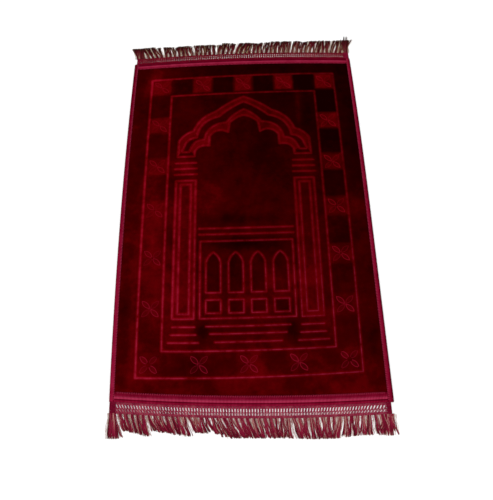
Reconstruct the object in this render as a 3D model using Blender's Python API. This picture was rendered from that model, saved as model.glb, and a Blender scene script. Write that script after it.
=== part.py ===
"""A plush prayer rug, 70 x 110 cm, lying flat on the floor with a fringe at each end.

The pile cloth is one slab whose rim is pressed thin. Four folded bindings hold that rim, and a braid with
its locks lies off each end. +Z is up with the floor at z = 0, and +Y points to the head of the arch.
"""

import math

import bmesh
import bpy
from mathutils import Matrix, Vector

# The cloth as cut, in metres, and the gap that parts one piece from the next.
WIDTH = 0.700
LENGTH = 1.100
PILE_TOP = 0.0075
GAP = 0.0003

# Finishes as (colour, roughness).
PLUSH = ((0.13, 0.002, 0.006), 0.95)
TAPE = ((0.24, 0.006, 0.045), 0.70)
YARN = ((0.16, 0.006, 0.022), 0.85)

# How it lies: the sides and ends bow out a little, and the left side lies shorter than the right.
SIDE_BOW = 0.0106
CORNER_DRAW_ACROSS = 0.0235
END_BOW = 0.0100
CORNER_DRAW_ALONG = 0.0205
RIGHT_SIDE_LONGER = 0.0130
PATTERN_SKEW = 0.013

# The near half of the right margin is not drawn in: past this share of the way across it lies out straight.
SPREAD_FROM = 0.82

# The rim that the bindings hold, and the pile's shoulder beside them.
RIM_BOTTOM = 0.0014
RIM_TOP = 0.0037
RIM_INSET = 0.0015
SHOULDER_DROP = 0.0018
SHOULDER_WIDTH = 0.0022
ACROSS_STEPS = 8
ALONG_STEPS = 10

# Binding tapes: each runs round the rim, and its section is a list of (in from the outer edge, height).
SIDE_TAPE = 0.0125
END_TAPE = 0.0250
TAPE_WALL = 0.0012
UNDER_LEG = 0.0011
SIDE_CROWN = ((0.0085, 0.0062), (0.0045, 0.0064), (0.0010, 0.0054))
END_CROWN = ((0.0165, 0.0056), (0.0125, 0.0068), (0.0085, 0.0066), (0.0055, 0.0049), (0.0006, 0.0047))
TAPE_EDGE_TOP = 0.0050

# The braid of each fringe, and the locks that hang from it.
BRAID_DEPTH = 0.0285
BRAID_HEIGHT = 0.0020
LOCK_PITCH = 0.0143
LOCKS = 48
LADDER_PITCH = LOCK_PITCH / 2
OPENING_WIDTH = 0.0042
OPENING_NEAR_CLOTH = 0.0062
OPENING_LENGTH = 0.0085
TURNED_END = LOCK_PITCH
HEADER_SWELL = 0.0010
STRANDS = 3
STRAND_PITCH = 0.0022
STRAND_WIDTH = 0.0018
RAGGED = 0.0015
RAGGED_TURN = 1.9

# A strand's section on its way out, as (share of the way out, share of the way sideways, width, height).
STRAND_HALFWAY = (0.45, 0.34, 0.0016, 0.0017)
STRAND_TIP = (1.00, 1.00, 0.0013, 0.0012)

# How the locks of each fringe lie, from the left corner to the right one. A row is one tuft:
# (locks gathered in it, where its tips start, where they end, how far out its first and its last tips reach).
NEAR_TUFTS = (
    (1, -0.3430, -0.3100, 0.6225, 0.6285),
    (5, -0.3060, -0.2430, 0.6105, 0.6220),
    (7, -0.2370, -0.1410, 0.6125, 0.6245),
    (3, -0.1360, -0.1030, 0.6165, 0.6185),
    (3, -0.0975, -0.0485, 0.6150, 0.6290),
    (12, -0.0435, 0.1010, 0.6310, 0.6340),
    (3, 0.1135, 0.1430, 0.6355, 0.6360),
    (6, 0.1520, 0.2160, 0.6365, 0.6365),
    (4, 0.2265, 0.2730, 0.6335, 0.6305),
    (1, 0.2820, 0.2960, 0.6305, 0.6300),
    (3, 0.3000, 0.3500, 0.6300, 0.6320),
)
FAR_TUFTS = (
    (3, -0.3545, -0.3210, 0.6075, 0.6095),
    (1, -0.3160, -0.3090, 0.6115, 0.6110),
    (1, -0.2990, -0.2900, 0.6145, 0.6130),
    (1, -0.2850, -0.2645, 0.6120, 0.6105),
    (3, -0.2600, -0.2210, 0.6140, 0.6130),
    (4, -0.2165, -0.1665, 0.6155, 0.6175),
    (5, -0.1560, -0.0875, 0.6200, 0.6215),
    (1, -0.0780, -0.0670, 0.6215, 0.6160),
    (2, -0.0615, -0.0370, 0.6280, 0.6275),
    (1, -0.0325, -0.0195, 0.6240, 0.6220),
    (3, -0.0055, 0.0235, 0.6270, 0.6285),
    (2, 0.0250, 0.0465, 0.6265, 0.6260),
    (3, 0.0495, 0.0905, 0.6260, 0.6290),
    (5, 0.0935, 0.1620, 0.6325, 0.6330),
    (2, 0.1700, 0.1895, 0.6325, 0.6325),
    (1, 0.1920, 0.2060, 0.6295, 0.6290),
    (2, 0.2100, 0.2360, 0.6320, 0.6315),
    (4, 0.2415, 0.2855, 0.6325, 0.6320),
    (2, 0.2965, 0.3265, 0.6320, 0.6315),
    (1, 0.3280, 0.3385, 0.6345, 0.6385),
    (1, 0.3390, 0.3530, 0.6345, 0.6290),
)

# The pressed pattern: furrows of one section, drawn on the flat cut.
FURROW_HALF_WIDTH = 0.0028
FURROW_DEPTH = 0.0013
LONGEST_STEP = 0.15
ARC_STEPS = 4

# Rectangles are (middle x, middle y, half width, half height). Those off the middle line are mirrored.
BORDER_FRAMES = ((0, -0.001, 0.287, 0.479), (0, -0.001, 0.223, 0.4105))
COLUMN_FRAMES = ((0.1695, -0.115, 0.0285, 0.211), (0.1695, -0.115, 0.0145, 0.197))
PANEL_FRAME = (0, -0.2135, 0.126, 0.1115)
WINDOW_CENTRES = (0.030, 0.0905)
WINDOW_HALF = 0.0195
WINDOW_BULGE = 0.004
WINDOW_HEAD, WINDOW_SPRING, WINDOW_SILL = -0.136, -0.168, -0.2535
LIGHT_TOP, LIGHT_BOTTOM = -0.274, -0.3105

# Straight bars are (middle x, y, half length), mirrored in the same way.
BARS = (
    (0.1725, 0.1955, 0.0105),
    (0.171, 0.179, 0.0245),
    (0.171, 0.1565, 0.0300),
    (0.171, 0.1365, 0.0310),
    (0.171, 0.117, 0.0315),
    (0.168, -0.3475, 0.029),
    (0.168, -0.3685, 0.033),
    (0.168, -0.3895, 0.039),
    (0, -0.0625, 0.129),
    (0, -0.081, 0.129),
    (0, -0.3465, 0.110),
    (0, -0.3665, 0.099),
    (0, -0.3885, 0.086),
)

# The right half of each line of the lobed arch, from its head down: (x, y, bulge of the stretch before it).
ARCH_LINES = (
    ((0, 0.395, 0), (0.085, 0.341, 0.004), (0.152, 0.271, 0.012), (0.194, 0.235, 0.006), (0.1955, 0.1835, 0)),
    ((0, 0.375, 0), (0.074, 0.322, 0.004), (0.141, 0.247, 0.018), (0.174, 0.226, 0.005), (0.183, 0.2000, 0)),
    ((0, 0.346, 0), (0.053, 0.299, 0.005), (0.119, 0.239, 0.018), (0.158, 0.208, 0.009), (0.162, 0.2000, 0)),
    ((0, 0.324, 0), (0.043, 0.297, 0.004), (0.048, 0.262, 0), (0.103, 0.250, 0.014), (0.1035, 0.215, 0),
     (0.1455, 0.199, 0.008), (0.1465, 0.1835, 0)),
)

# Flowers of four petals stand in the border, at its corners and between them.
FLOWER_COLUMN_X, FLOWER_ROW_Y = 0.255, 0.446
FLOWERS_IN_COLUMN = (0, 0.149, 0.297)
FLOWERS_IN_ROW = (0, 0.127)
PETAL_OUT, PETAL_LONG, PETAL_WIDE = 0.0165, 0.0140, 0.0052


def lie(x, y):
    """Where a point of the flat cut comes to lie on the floor."""
    across, along = 2 * x / WIDTH, 2 * y / LENGTH
    spread = max(0, across - SPREAD_FROM) / (1 - SPREAD_FROM) if along < 0 else 0
    drawn_x = x * (1 + SIDE_BOW - CORNER_DRAW_ACROSS * along**2 * (1 - spread))
    drawn_y = y * (1 + END_BOW - CORNER_DRAW_ALONG * across**2 + RIGHT_SIDE_LONGER * across)
    return drawn_x, drawn_y


def lie_pattern(x, y):
    """The pattern was pressed a little askew, most of all at the near end."""
    along = 2 * y / LENGTH
    return lie(x, y + PATTERN_SKEW * x * (1 - 0.5 * along + along**2))


def lay(bm, how):
    """Moves every vertex from the flat cut to where it lies."""
    for vert in bm.verts:
        vert.co.x, vert.co.y = how(vert.co.x, vert.co.y)


def clear_scene():
    for thing in list(bpy.data.objects):
        bpy.data.objects.remove(thing, do_unlink=True)


def new_collection(name):
    group = bpy.data.collections.new(name)
    bpy.context.scene.collection.children.link(group)
    return group


def new_material(name, colour, roughness):
    material = bpy.data.materials.new(name)
    material.use_nodes = True
    shader = material.node_tree.nodes["Principled BSDF"]
    shader.inputs["Base Color"].default_value = (*colour, 1)
    shader.inputs["Roughness"].default_value = roughness
    shader.inputs["Metallic"].default_value = 0
    return material


def new_object(name, bm, group, finish=None):
    """Turns a bmesh into a named object of the group, with a material of its own if it has a finish."""
    bmesh.ops.recalc_face_normals(bm, faces=bm.faces)
    mesh = bpy.data.meshes.new(name)
    bm.to_mesh(mesh)
    bm.free()
    thing = bpy.data.objects.new(name, mesh)
    group.objects.link(thing)
    if finish:
        mesh.materials.append(new_material(name + "_finish", *finish))
    return thing


def extrude(bm, faces):
    """Draws the faces out and returns the new ones. Their edges go with them, so no inner face stays."""
    edges = {e for f in faces for e in f.edges}
    drawn = bmesh.ops.extrude_face_region(bm, geom=[*faces, *edges])["geom"]
    return [part for part in drawn if isinstance(part, bmesh.types.BMFace)]


def cut_with(thing, cutter):
    """Takes the cutter's shape out of the piece, and leaves the cutter as a guide."""
    cutter.hide_render = True
    cutter.display_type = "WIRE"
    boolean = thing.modifiers.new("cut_" + cutter.name, "BOOLEAN")
    boolean.operation = "DIFFERENCE"
    boolean.solver = "EXACT"
    boolean.object = cutter


# ---------------------------------------------------------------- the pressed pattern


def straight(start, end):
    """Points from start up to, but not including, end, close enough to follow the bowed cloth."""
    count = max(1, math.ceil(math.dist(start, end) / LONGEST_STEP))
    return [tuple(a + (b - a) * i / count for a, b in zip(start, end)) for i in range(count)]


def bulged(start, end, bulge):
    """Points of an arc from start up to, but not including, end, which bulges out from the arch's inside."""
    if not bulge:
        return straight(start, end)
    start, end = Vector(start), Vector(end)
    outwards = Vector((start.y - end.y, end.x - start.x)).normalized()
    points = []
    for i in range(ARC_STEPS):
        t = i / ARC_STEPS
        points.append(tuple(start.lerp(end, t) + outwards * bulge * 4 * t * (1 - t)))
    return points


def closed_frame(middle_x, middle_y, half_width, half_height):
    corners = [
        (middle_x - half_width, middle_y - half_height),
        (middle_x + half_width, middle_y - half_height),
        (middle_x + half_width, middle_y + half_height),
        (middle_x - half_width, middle_y + half_height),
    ]
    return [p for i, corner in enumerate(corners) for p in straight(corner, corners[(i + 1) % 4])]


def window_outline(middle_x):
    """A window with a pointed head, a straight sill and upright sides."""
    left, right = middle_x - WINDOW_HALF, middle_x + WINDOW_HALF
    outline = [(left, WINDOW_SILL)]
    outline += bulged((left, WINDOW_SPRING), (middle_x, WINDOW_HEAD), WINDOW_BULGE)
    outline += bulged((middle_x, WINDOW_HEAD), (right, WINDOW_SPRING), WINDOW_BULGE)
    return outline + [(right, WINDOW_SPRING), (right, WINDOW_SILL)]


def arch_outline(rows):
    """The whole lobed line: its left half is the mirror of its right half."""
    right = []
    for (x0, y0, _), (x1, y1, bulge) in zip(rows, rows[1:]):
        right += bulged((x0, y0), (x1, y1), bulge)
    right.append(rows[-1][:2])
    return [(-x, y) for x, y in reversed(right[1:])] + right


def with_mirror(outline):
    """The outline, and its mirror image where it stands off the middle line."""
    if abs(sum(x for x, _ in outline)) < 1e-6:
        return [outline]
    return [outline, [(-x, y) for x, y in outline]]


def pattern_lines():
    """Every furrow as (points, whether it is a closed loop)."""
    light_height = (LIGHT_TOP - LIGHT_BOTTOM) / 2
    light_middle = (LIGHT_TOP + LIGHT_BOTTOM) / 2
    loops = [closed_frame(*frame) for frame in (*BORDER_FRAMES, *COLUMN_FRAMES, PANEL_FRAME)]
    loops += [window_outline(x) for x in WINDOW_CENTRES]
    loops += [closed_frame(x, light_middle, WINDOW_HALF, light_height) for x in WINDOW_CENTRES]
    bars = [straight((x - half, y), (x + half, y)) + [(x + half, y)] for x, y, half in BARS]
    bars += [arch_outline(rows) for rows in ARCH_LINES]
    return [(one, True) for loop in loops for one in with_mirror(loop)] + [
        (one, False) for bar in bars for one in with_mirror(bar)
    ]


def add_furrows(bm):
    """Every furrow as a tube of a flat diamond section along its line."""
    curve = bpy.data.curves.new("furrows", "CURVE")
    curve.dimensions = "3D"
    curve.twist_mode = "Z_UP"
    curve.bevel_depth = FURROW_HALF_WIDTH
    curve.bevel_resolution = 0
    curve.use_fill_caps = True
    for points, is_loop in pattern_lines():
        spline = curve.splines.new("POLY")
        spline.points.add(len(points) - 1)
        spline.use_cyclic_u = is_loop
        for point, (x, y) in zip(spline.points, points):
            point.co = (x, y, 0, 1)
    route = bpy.data.objects.new("furrows", curve)
    bpy.context.scene.collection.objects.link(route)
    drawn = route.evaluated_get(bpy.context.evaluated_depsgraph_get())
    mesh = bpy.data.meshes.new_from_object(drawn)
    bpy.data.objects.remove(route, do_unlink=True)
    bm.from_mesh(mesh)
    bmesh.ops.remove_doubles(bm, verts=bm.verts, dist=1e-6)
    for vert in bm.verts:
        vert.co.z = PILE_TOP + vert.co.z * FURROW_DEPTH / FURROW_HALF_WIDTH


def flower_centres():
    centres = [(x, FLOWER_ROW_Y) for x in FLOWERS_IN_ROW] + [(FLOWER_COLUMN_X, y) for y in FLOWERS_IN_COLUMN]
    centres.append((FLOWER_COLUMN_X, FLOWER_ROW_Y))
    return sorted({(a * x, b * y) for x, y in centres for a in (-1, 1) for b in (-1, 1)})


def add_petals(bm):
    """Each petal is a long four-sided dimple that points away from its flower's middle."""
    for x, y in flower_centres():
        for quarter in range(4):
            turn = Matrix.Rotation(math.radians(45 + 90 * quarter), 4, "Z")
            place = Matrix.Translation((x, y, PILE_TOP)) @ turn @ Matrix.Translation((PETAL_OUT, 0, 0))
            shape = Matrix.Diagonal((PETAL_LONG, PETAL_WIDE, -FURROW_DEPTH, 1))
            bmesh.ops.create_cone(
                bm, cap_ends=True, segments=4, radius1=1, radius2=0, depth=2, matrix=place @ shape
            )


def pattern_cutter(group):
    """The whole pattern as one cutter, laid as the cloth lies."""
    bm = bmesh.new()
    add_furrows(bm)
    add_petals(bm)
    lay(bm, lie_pattern)
    return new_object("pattern_cutter", bm, group)


# ---------------------------------------------------------------- cloth and bindings


def raise_slab(half_x, half_y):
    """The slab in layers: two for the rim's underside and top, then the pile and its rounded shoulder."""
    bm = bmesh.new()
    bmesh.ops.create_grid(bm, x_segments=ACROSS_STEPS, y_segments=ALONG_STEPS, size=1)
    bmesh.ops.scale(bm, vec=(half_x, half_y, 1), verts=bm.verts)
    layer = list(bm.faces)
    for height in (RIM_BOTTOM, RIM_TOP, PILE_TOP - SHOULDER_DROP, PILE_TOP):
        layer = extrude(bm, layer)
        for vert in {v for f in layer for v in f.verts}:
            vert.co.z = height
    for vert in {v for f in layer for v in f.verts}:
        vert.co.x *= 1 - SHOULDER_WIDTH / half_x
        vert.co.y *= 1 - SHOULDER_WIDTH / half_y
    return bm


def draw_out_rim(bm, half_x, half_y):
    """The rim runs out from the slab's side, nearly to the edge of the cut."""
    rim_middle = (RIM_BOTTOM + RIM_TOP) / 2
    rim = [f for f in bm.faces if abs(f.calc_center_median().z - rim_middle) < GAP]
    for vert in {v for f in extrude(bm, rim) for v in f.verts}:
        if abs(vert.co.x) > half_x - GAP:
            vert.co.x = math.copysign(WIDTH / 2 - RIM_INSET, vert.co.x)
        if abs(vert.co.y) > half_y - GAP:
            vert.co.y = math.copysign(LENGTH / 2 - RIM_INSET, vert.co.y)


def make_one_face(bm, height):
    """Joins the level faces at this height into one."""
    level = [f for f in bm.faces if all(abs(v.co.z - height) < GAP for v in f.verts)]
    bmesh.ops.dissolve_faces(bm, faces=level)


def build_pile_cloth(rug, cutters):
    """One slab with a flat underside, a thin rim for the bindings, and the pattern pressed into its pile."""
    half_x = WIDTH / 2 - SIDE_TAPE - GAP
    half_y = LENGTH / 2 - END_TAPE - GAP
    bm = raise_slab(half_x, half_y)
    draw_out_rim(bm, half_x, half_y)
    make_one_face(bm, 0)
    make_one_face(bm, PILE_TOP)
    lay(bm, lie)
    cut_with(new_object("pile_cloth", bm, rug, PLUSH), pattern_cutter(cutters))


def tape_section(tape, crown):
    """The folded tape's section as (in from the outer edge, height): a C that holds the pressed rim."""
    inside_top = RIM_TOP + GAP
    return [
        (TAPE_WALL / 2, 0),
        (tape, 0),
        (tape, UNDER_LEG),
        (TAPE_WALL, UNDER_LEG),
        (TAPE_WALL, inside_top),
        (tape, inside_top),
        (tape, TAPE_EDGE_TOP),
        *crown,
        (0, inside_top),
        (0, UNDER_LEG / 2),
    ]


def build_binding(name, rug, section, place, reach, steps):
    """Sweeps the section along one edge: place(inwards, along) gives the flat cut's x and y."""
    stations = [reach * (2 * i / steps - 1) for i in range(steps + 1)]
    bm = bmesh.new()
    verts = [bm.verts.new((*place(inwards, stations[0]), z)) for inwards, z in section]
    face = bm.faces.new(verts)
    for before, station in zip(stations, stations[1:]):
        face = extrude(bm, [face])[0]
        step = Vector(place(0, station)) - Vector(place(0, before))
        bmesh.ops.translate(bm, verts=face.verts, vec=(*step, 0))
    lay(bm, lie)
    new_object(name, bm, rug, TAPE)


def build_bindings(rug):
    side, end = tape_section(SIDE_TAPE, SIDE_CROWN), tape_section(END_TAPE, END_CROWN)
    end_reach = WIDTH / 2 - SIDE_TAPE - GAP
    for name, hand in (("binding_left", -1), ("binding_right", 1)):
        build_binding(name, rug, side, lambda u, t: (hand * (WIDTH / 2 - u), t), LENGTH / 2, ALONG_STEPS)
    for name, hand in (("binding_near", -1), ("binding_far", 1)):
        build_binding(name, rug, end, lambda u, t: (t, hand * (LENGTH / 2 - u)), end_reach, ACROSS_STEPS)


# ---------------------------------------------------------------- fringes


def build_braid(end):
    """The braid as a flat bar, its outer wall marked off where each strand starts."""
    inner, outer = LENGTH / 2 + GAP, LENGTH / 2 + BRAID_DEPTH
    half_length = LOCKS * LOCK_PITCH / 2
    middle = Matrix.Translation((0, end * (inner + outer) / 2, BRAID_HEIGHT / 2))
    size = Matrix.Diagonal((2 * half_length, outer - inner, BRAID_HEIGHT, 1))
    bm = bmesh.new()
    bmesh.ops.create_cube(bm, size=1, matrix=middle @ size)
    for i in range(1, LOCKS):
        everything = [*bm.verts, *bm.edges, *bm.faces]
        bmesh.ops.bisect_plane(
            bm, geom=everything, plane_co=(i * LOCK_PITCH - half_length, 0, 0), plane_no=(1, 0, 0)
        )
    for centre in strand_roots():
        for edge_x in (centre - STRAND_WIDTH / 2, centre + STRAND_WIDTH / 2):
            crossed = [f for f in outer_wall(bm) if spans(f, edge_x)]
            touched = {part for f in crossed for part in (f, *f.edges, *f.verts)}
            bmesh.ops.bisect_plane(bm, geom=list(touched), plane_co=(edge_x, 0, 0), plane_no=(1, 0, 0))
    return bm


def outer_wall(bm):
    """The faces of the flat cut's outermost wall."""
    reach = max(abs(v.co.y) for v in bm.verts)
    return [f for f in bm.faces if all(abs(v.co.y) > reach - GAP for v in f.verts)]


def spans(face, x):
    """Whether x falls between the face's sides."""
    return min(v.co.x for v in face.verts) < x < max(v.co.x for v in face.verts)


def lock_centres():
    return [(i + 0.5) * LOCK_PITCH - LOCKS * LOCK_PITCH / 2 for i in range(LOCKS)]


def strand_roots():
    offsets = [(j - (STRANDS - 1) / 2) * STRAND_PITCH for j in range(STRANDS)]
    return [centre + offset for centre in lock_centres() for offset in offsets]


def strand_tips(tufts):
    """The (x, distance from the middle) of every strand's tip, tuft by tuft."""
    tips = []
    for locks, start, end, first_reach, last_reach in tufts:
        count = locks * STRANDS
        for k in range(count):
            share = (k + 0.5) / count
            short = RAGGED * abs(math.sin(RAGGED_TURN * (k - count // 2)))
            reach = first_reach + (last_reach - first_reach) * share
            tips.append((start + (end - start) * share, reach - short))
    return tips


def extrude_strand(bm, root, tip, end):
    """Draws one strand out of its root face on the braid's wall, flat on the floor all the way."""
    start = root.calc_center_median()
    face = root
    for along, sideways, width, height in (STRAND_HALFWAY, STRAND_TIP):
        drawn = bmesh.ops.extrude_discrete_faces(bm, faces=[face])["faces"]
        face = drawn[0]
        middle = face.calc_center_median()
        x = start.x + (tip[0] - start.x) * sideways
        y = start.y + (end * tip[1] - start.y) * along
        for vert in face.verts:
            is_top = vert.co.z > middle.z
            vert.co = (x + math.copysign(width / 2, vert.co.x - middle.x), y, height if is_top else 0)


def ladder_cutter(name, end, group):
    """A row of upright slots, one for each gap of the ladder braid, all but its turned-in ends."""
    slots = round((LOCKS * LOCK_PITCH - 2 * TURNED_END) / LADDER_PITCH)
    y = end * (LENGTH / 2 + OPENING_NEAR_CLOTH + OPENING_LENGTH / 2)
    size = Matrix.Diagonal((OPENING_WIDTH, OPENING_LENGTH, 3 * BRAID_HEIGHT, 1))
    bm = bmesh.new()
    for i in range(slots):
        x = (i + 0.5 - slots / 2) * LADDER_PITCH
        bmesh.ops.create_cube(bm, size=1, matrix=Matrix.Translation((x, y, BRAID_HEIGHT / 2)) @ size)
    lay(bm, lie)
    return new_object(name, bm, group)


def build_fringe(name, end, tufts, rug, cutters):
    """One braid with its ladder openings, and the strands fused to its outer edge."""
    bm = build_braid(end)
    wall = outer_wall(bm)
    by_place = {round(f.calc_center_median().x, 5): f for f in wall}
    roots = [by_place[round(x, 5)] for x in strand_roots()]
    for vert in {v for f in wall for v in f.verts}:
        off_centre = min(abs(vert.co.x - centre) for centre in lock_centres()) / (LOCK_PITCH / 2)
        vert.co.y += end * HEADER_SWELL * (1 - off_centre**2)
    lay(bm, lie)
    for root, tip in zip(roots, strand_tips(tufts)):
        extrude_strand(bm, root, tip, end)
    cut_with(new_object(name, bm, rug, YARN), ladder_cutter(name + "_ladder", end, cutters))


clear_scene()
rug_parts = new_collection("prayer_rug")
rug_cutters = new_collection("cutters")
build_pile_cloth(rug_parts, rug_cutters)
build_bindings(rug_parts)
build_fringe("fringe_near", -1, NEAR_TUFTS, rug_parts, rug_cutters)
build_fringe("fringe_far", 1, FAR_TUFTS, rug_parts, rug_cutters)
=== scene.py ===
"""The looks of a plush prayer rug that lies flat on a pale floor.

The sections follow the rug as it is put together: the pile cloth with its pressed pattern, the tapes that
bind its sides and ends, and the ladder braid with its locks along each end. Everything is in metres, with
+Z up and +Y towards the head of the arch.
"""

import math

import bmesh
import bpy
import numpy as np
from mathutils import Matrix, Vector


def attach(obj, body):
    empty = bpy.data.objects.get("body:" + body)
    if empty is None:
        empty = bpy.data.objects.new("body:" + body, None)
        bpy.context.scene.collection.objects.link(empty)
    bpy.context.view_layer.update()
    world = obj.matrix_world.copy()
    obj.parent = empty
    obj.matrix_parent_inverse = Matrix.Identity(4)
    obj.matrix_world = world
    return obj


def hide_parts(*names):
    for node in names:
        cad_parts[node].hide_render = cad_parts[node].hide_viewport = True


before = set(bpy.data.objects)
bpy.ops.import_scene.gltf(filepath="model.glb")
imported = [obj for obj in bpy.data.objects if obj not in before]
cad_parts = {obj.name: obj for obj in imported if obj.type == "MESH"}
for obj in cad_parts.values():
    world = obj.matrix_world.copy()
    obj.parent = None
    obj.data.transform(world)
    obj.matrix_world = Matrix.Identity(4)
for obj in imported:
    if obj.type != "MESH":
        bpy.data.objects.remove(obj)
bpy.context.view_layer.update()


# ---------------------------------------------------------------- camera
# The photo was taken standing just before the rug's near end and looking steeply down at it, so its sides
# draw together a little towards the far end.
LOOKED_AT = Vector((-0.0003, -0.1322, 0.0068))
CAMERA_ELEVATION = math.radians(64.17)
CAMERA_AZIMUTH = math.radians(-1.114)
CAMERA_DISTANCE = 1.690
LENS_MM = 44.43
SENSOR_MM = 36

camera_data = bpy.data.cameras.new("camera")
camera_data.sensor_width = SENSOR_MM
camera_data.lens = LENS_MM
camera = bpy.data.objects.new("camera", camera_data)
bpy.context.scene.collection.objects.link(camera)
camera.rotation_euler = (math.pi / 2 - CAMERA_ELEVATION, 0, CAMERA_AZIMUTH)
camera.location = LOOKED_AT + camera.rotation_euler.to_matrix() @ Vector((0, 0, CAMERA_DISTANCE))
bpy.context.scene.camera = camera


# ---------------------------------------------------------------- floor and light
# A pale matt floor under a bright even sky, with a soft sun high over the camera's left shoulder. Floor,
# sky and sun together come out just at white, so that the gaps of the fringes still shade.
FLOOR_SIDE = 12.0
FLOOR_DROP = 0.0002
FLOOR_COLOUR = (0.87, 0.87, 0.87)
SKY_STRENGTH = 0.66
SUN_STRENGTH = 2.15
SUN_SOFTNESS = math.radians(24)
SUN_FROM = Vector((-0.35, -0.40, 1.0))


class Wire:
    """A socket whose arithmetic adds Math nodes, so that shader maths reads as plain expressions."""

    def __init__(self, tree, socket):
        self.tree = tree
        self.socket = socket

    def math(self, operation, *values):
        return add_node(self.tree, "ShaderNodeMath", {"operation": operation}, dict(enumerate(values)))

    def __add__(self, other):
        return self.math("ADD", self, other)

    def __sub__(self, other):
        return self.math("SUBTRACT", self, other)

    def __rsub__(self, other):
        return self.math("SUBTRACT", other, self)

    def __mul__(self, other):
        return self.math("MULTIPLY", self, other)

    __radd__ = __add__
    __rmul__ = __mul__

    def rise(self, start, end):
        """0 up to start and 1 from end on, smooth between them."""
        settings = {"interpolation_type": "SMOOTHSTEP"}
        return add_node(self.tree, "ShaderNodeMapRange", settings, {"Value": self, 1: start, 2: end})

    def wave(self, pitch):
        """A wave between 0 and 1, once for each pitch."""
        return self.math("SINE", self * (2 * math.pi / pitch)) * 0.5 + 0.5


def add_node(tree, kind, settings, sockets, output=0):
    """Adds one node: its settings first, a ramp's stops among them, then its sockets' values or links."""
    made = tree.nodes.new(kind)
    for name, value in settings.items():
        if name == "stops":
            while len(made.color_ramp.elements) < len(value):
                made.color_ramp.elements.new(0.5)
            for element, (place, colour) in zip(made.color_ramp.elements, value):
                element.position = place
                element.color = (*colour, 1)
        else:
            setattr(made, name, value)
    for name, value in sockets.items():
        if isinstance(value, Wire):
            tree.links.new(value.socket, made.inputs[name])
        else:
            made.inputs[name].default_value = value
    return Wire(tree, made.outputs[output]) if made.outputs else None


def new_finish(name):
    """An empty node material and the call that adds nodes to it."""
    finish = bpy.data.materials.new(name)
    finish.use_nodes = True
    finish.node_tree.nodes.clear()

    def node(kind, settings=None, sockets=None, output=0):
        return add_node(finish.node_tree, kind, settings or {}, sockets or {}, output)

    return finish, node


def surface(node, sockets):
    """Ends a material with one Principled shader."""
    shader = node("ShaderNodeBsdfPrincipled", {}, sockets)
    node("ShaderNodeOutputMaterial", {}, {"Surface": shader})


def mix_colour(node, share, first, second):
    settings = {"data_type": "RGBA"}
    return node("ShaderNodeMix", settings, {0: share, 6: first, 7: second}, output=2)


def new_piece(name, bm, *finishes):
    """Turns a bmesh into an object at the origin, with its materials."""
    mesh = bpy.data.meshes.new(name)
    bm.to_mesh(mesh)
    bm.free()
    piece = bpy.data.objects.new(name, mesh)
    bpy.context.scene.collection.objects.link(piece)
    for finish in finishes:
        mesh.materials.append(finish)
    return piece


def make_floor():
    finish, node = new_finish("pale_floor")
    grain = node("ShaderNodeTexNoise", {}, {"Vector": node("ShaderNodeTexCoord", output=3), "Scale": 3.0})
    colour = mix_colour(node, grain * 0.1, (*FLOOR_COLOUR, 1), (0.80, 0.80, 0.80, 1))
    surface(node, {"Base Color": colour, "Roughness": 0.9, "Specular IOR Level": 0.1})
    bm = bmesh.new()
    place = Matrix.Translation((0, 0, -FLOOR_DROP))
    bmesh.ops.create_grid(bm, x_segments=1, y_segments=1, size=FLOOR_SIDE / 2, matrix=place)
    return new_piece("floor", bm, finish)


def light_studio():
    sky = bpy.data.worlds.new("studio")
    sky.use_nodes = True
    sky.node_tree.nodes["Background"].inputs["Strength"].default_value = SKY_STRENGTH
    sky.node_tree.nodes["Background"].inputs["Color"].default_value = (1, 1, 1, 1)
    bpy.context.scene.world = sky
    sun_data = bpy.data.lights.new("soft_sun", "SUN")
    sun_data.energy = SUN_STRENGTH
    sun_data.angle = SUN_SOFTNESS
    sun = bpy.data.objects.new("soft_sun", sun_data)
    bpy.context.scene.collection.objects.link(sun)
    sun.rotation_euler = SUN_FROM.to_track_quat("Z", "Y").to_euler()
    bpy.context.scene.view_settings.view_transform = "Standard"


floor = make_floor()
light_studio()


# ---------------------------------------------------------------- pile cloth
# One plush cloth of dense cut pile on a woven ground, cut to 70 x 110 cm. The arch, its columns, the
# windows and the flower border are pressed into the pile by a hot roller, a little askew, and the rim is
# pressed thin so that the tapes can fold over it.
CLOTH_WIDTH = 0.700
CLOTH_LENGTH = 1.100
PILE_TOP = 0.0075
GAP = 0.0003

# How it lies: the sides and ends bow out a little, and the left side lies shorter than the right.
SIDE_BOW = 0.0106
CORNER_DRAW_ACROSS = 0.0235
END_BOW = 0.0100
CORNER_DRAW_ALONG = 0.0205
RIGHT_SIDE_LONGER = 0.0130
PATTERN_SKEW = 0.013

# The near half of the right margin is not drawn in: past this share of the way across, it lies straight.
SPREAD_FROM = 0.82

# The pile ends where the tapes start, with a soft shoulder, and its pressed rim runs on inside them. The
# shoulder's profile is (share of its width that is left, drop below the pile's top).
SIDE_TAPE = 0.0125
END_TAPE = 0.0250
PILE_HALF_X = CLOTH_WIDTH / 2 - SIDE_TAPE - GAP
PILE_HALF_Y = CLOTH_LENGTH / 2 - END_TAPE - GAP
SHOULDER = 0.0022
SHOULDER_PROFILE = ((0.55, 0.0003), (0.20, 0.0009), (0.0, 0.0018))
RIM_TOP = 0.0037
RIM_BOTTOM = 0.0014
RIM_REACH_X = CLOTH_WIDTH / 2 - 0.0015
RIM_REACH_Y = CLOTH_LENGTH / 2 - 0.0015

# The skew fades out between the outermost pressed line and the pile's edge.
SKEW_FULL_X, SKEW_FULL_Y = 0.292, 0.486

# The mesh: square cells, halved twice near the pattern.
CELL = 0.0064
FINE_REACH = 0.0080
FINEST_REACH = 0.0037

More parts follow.
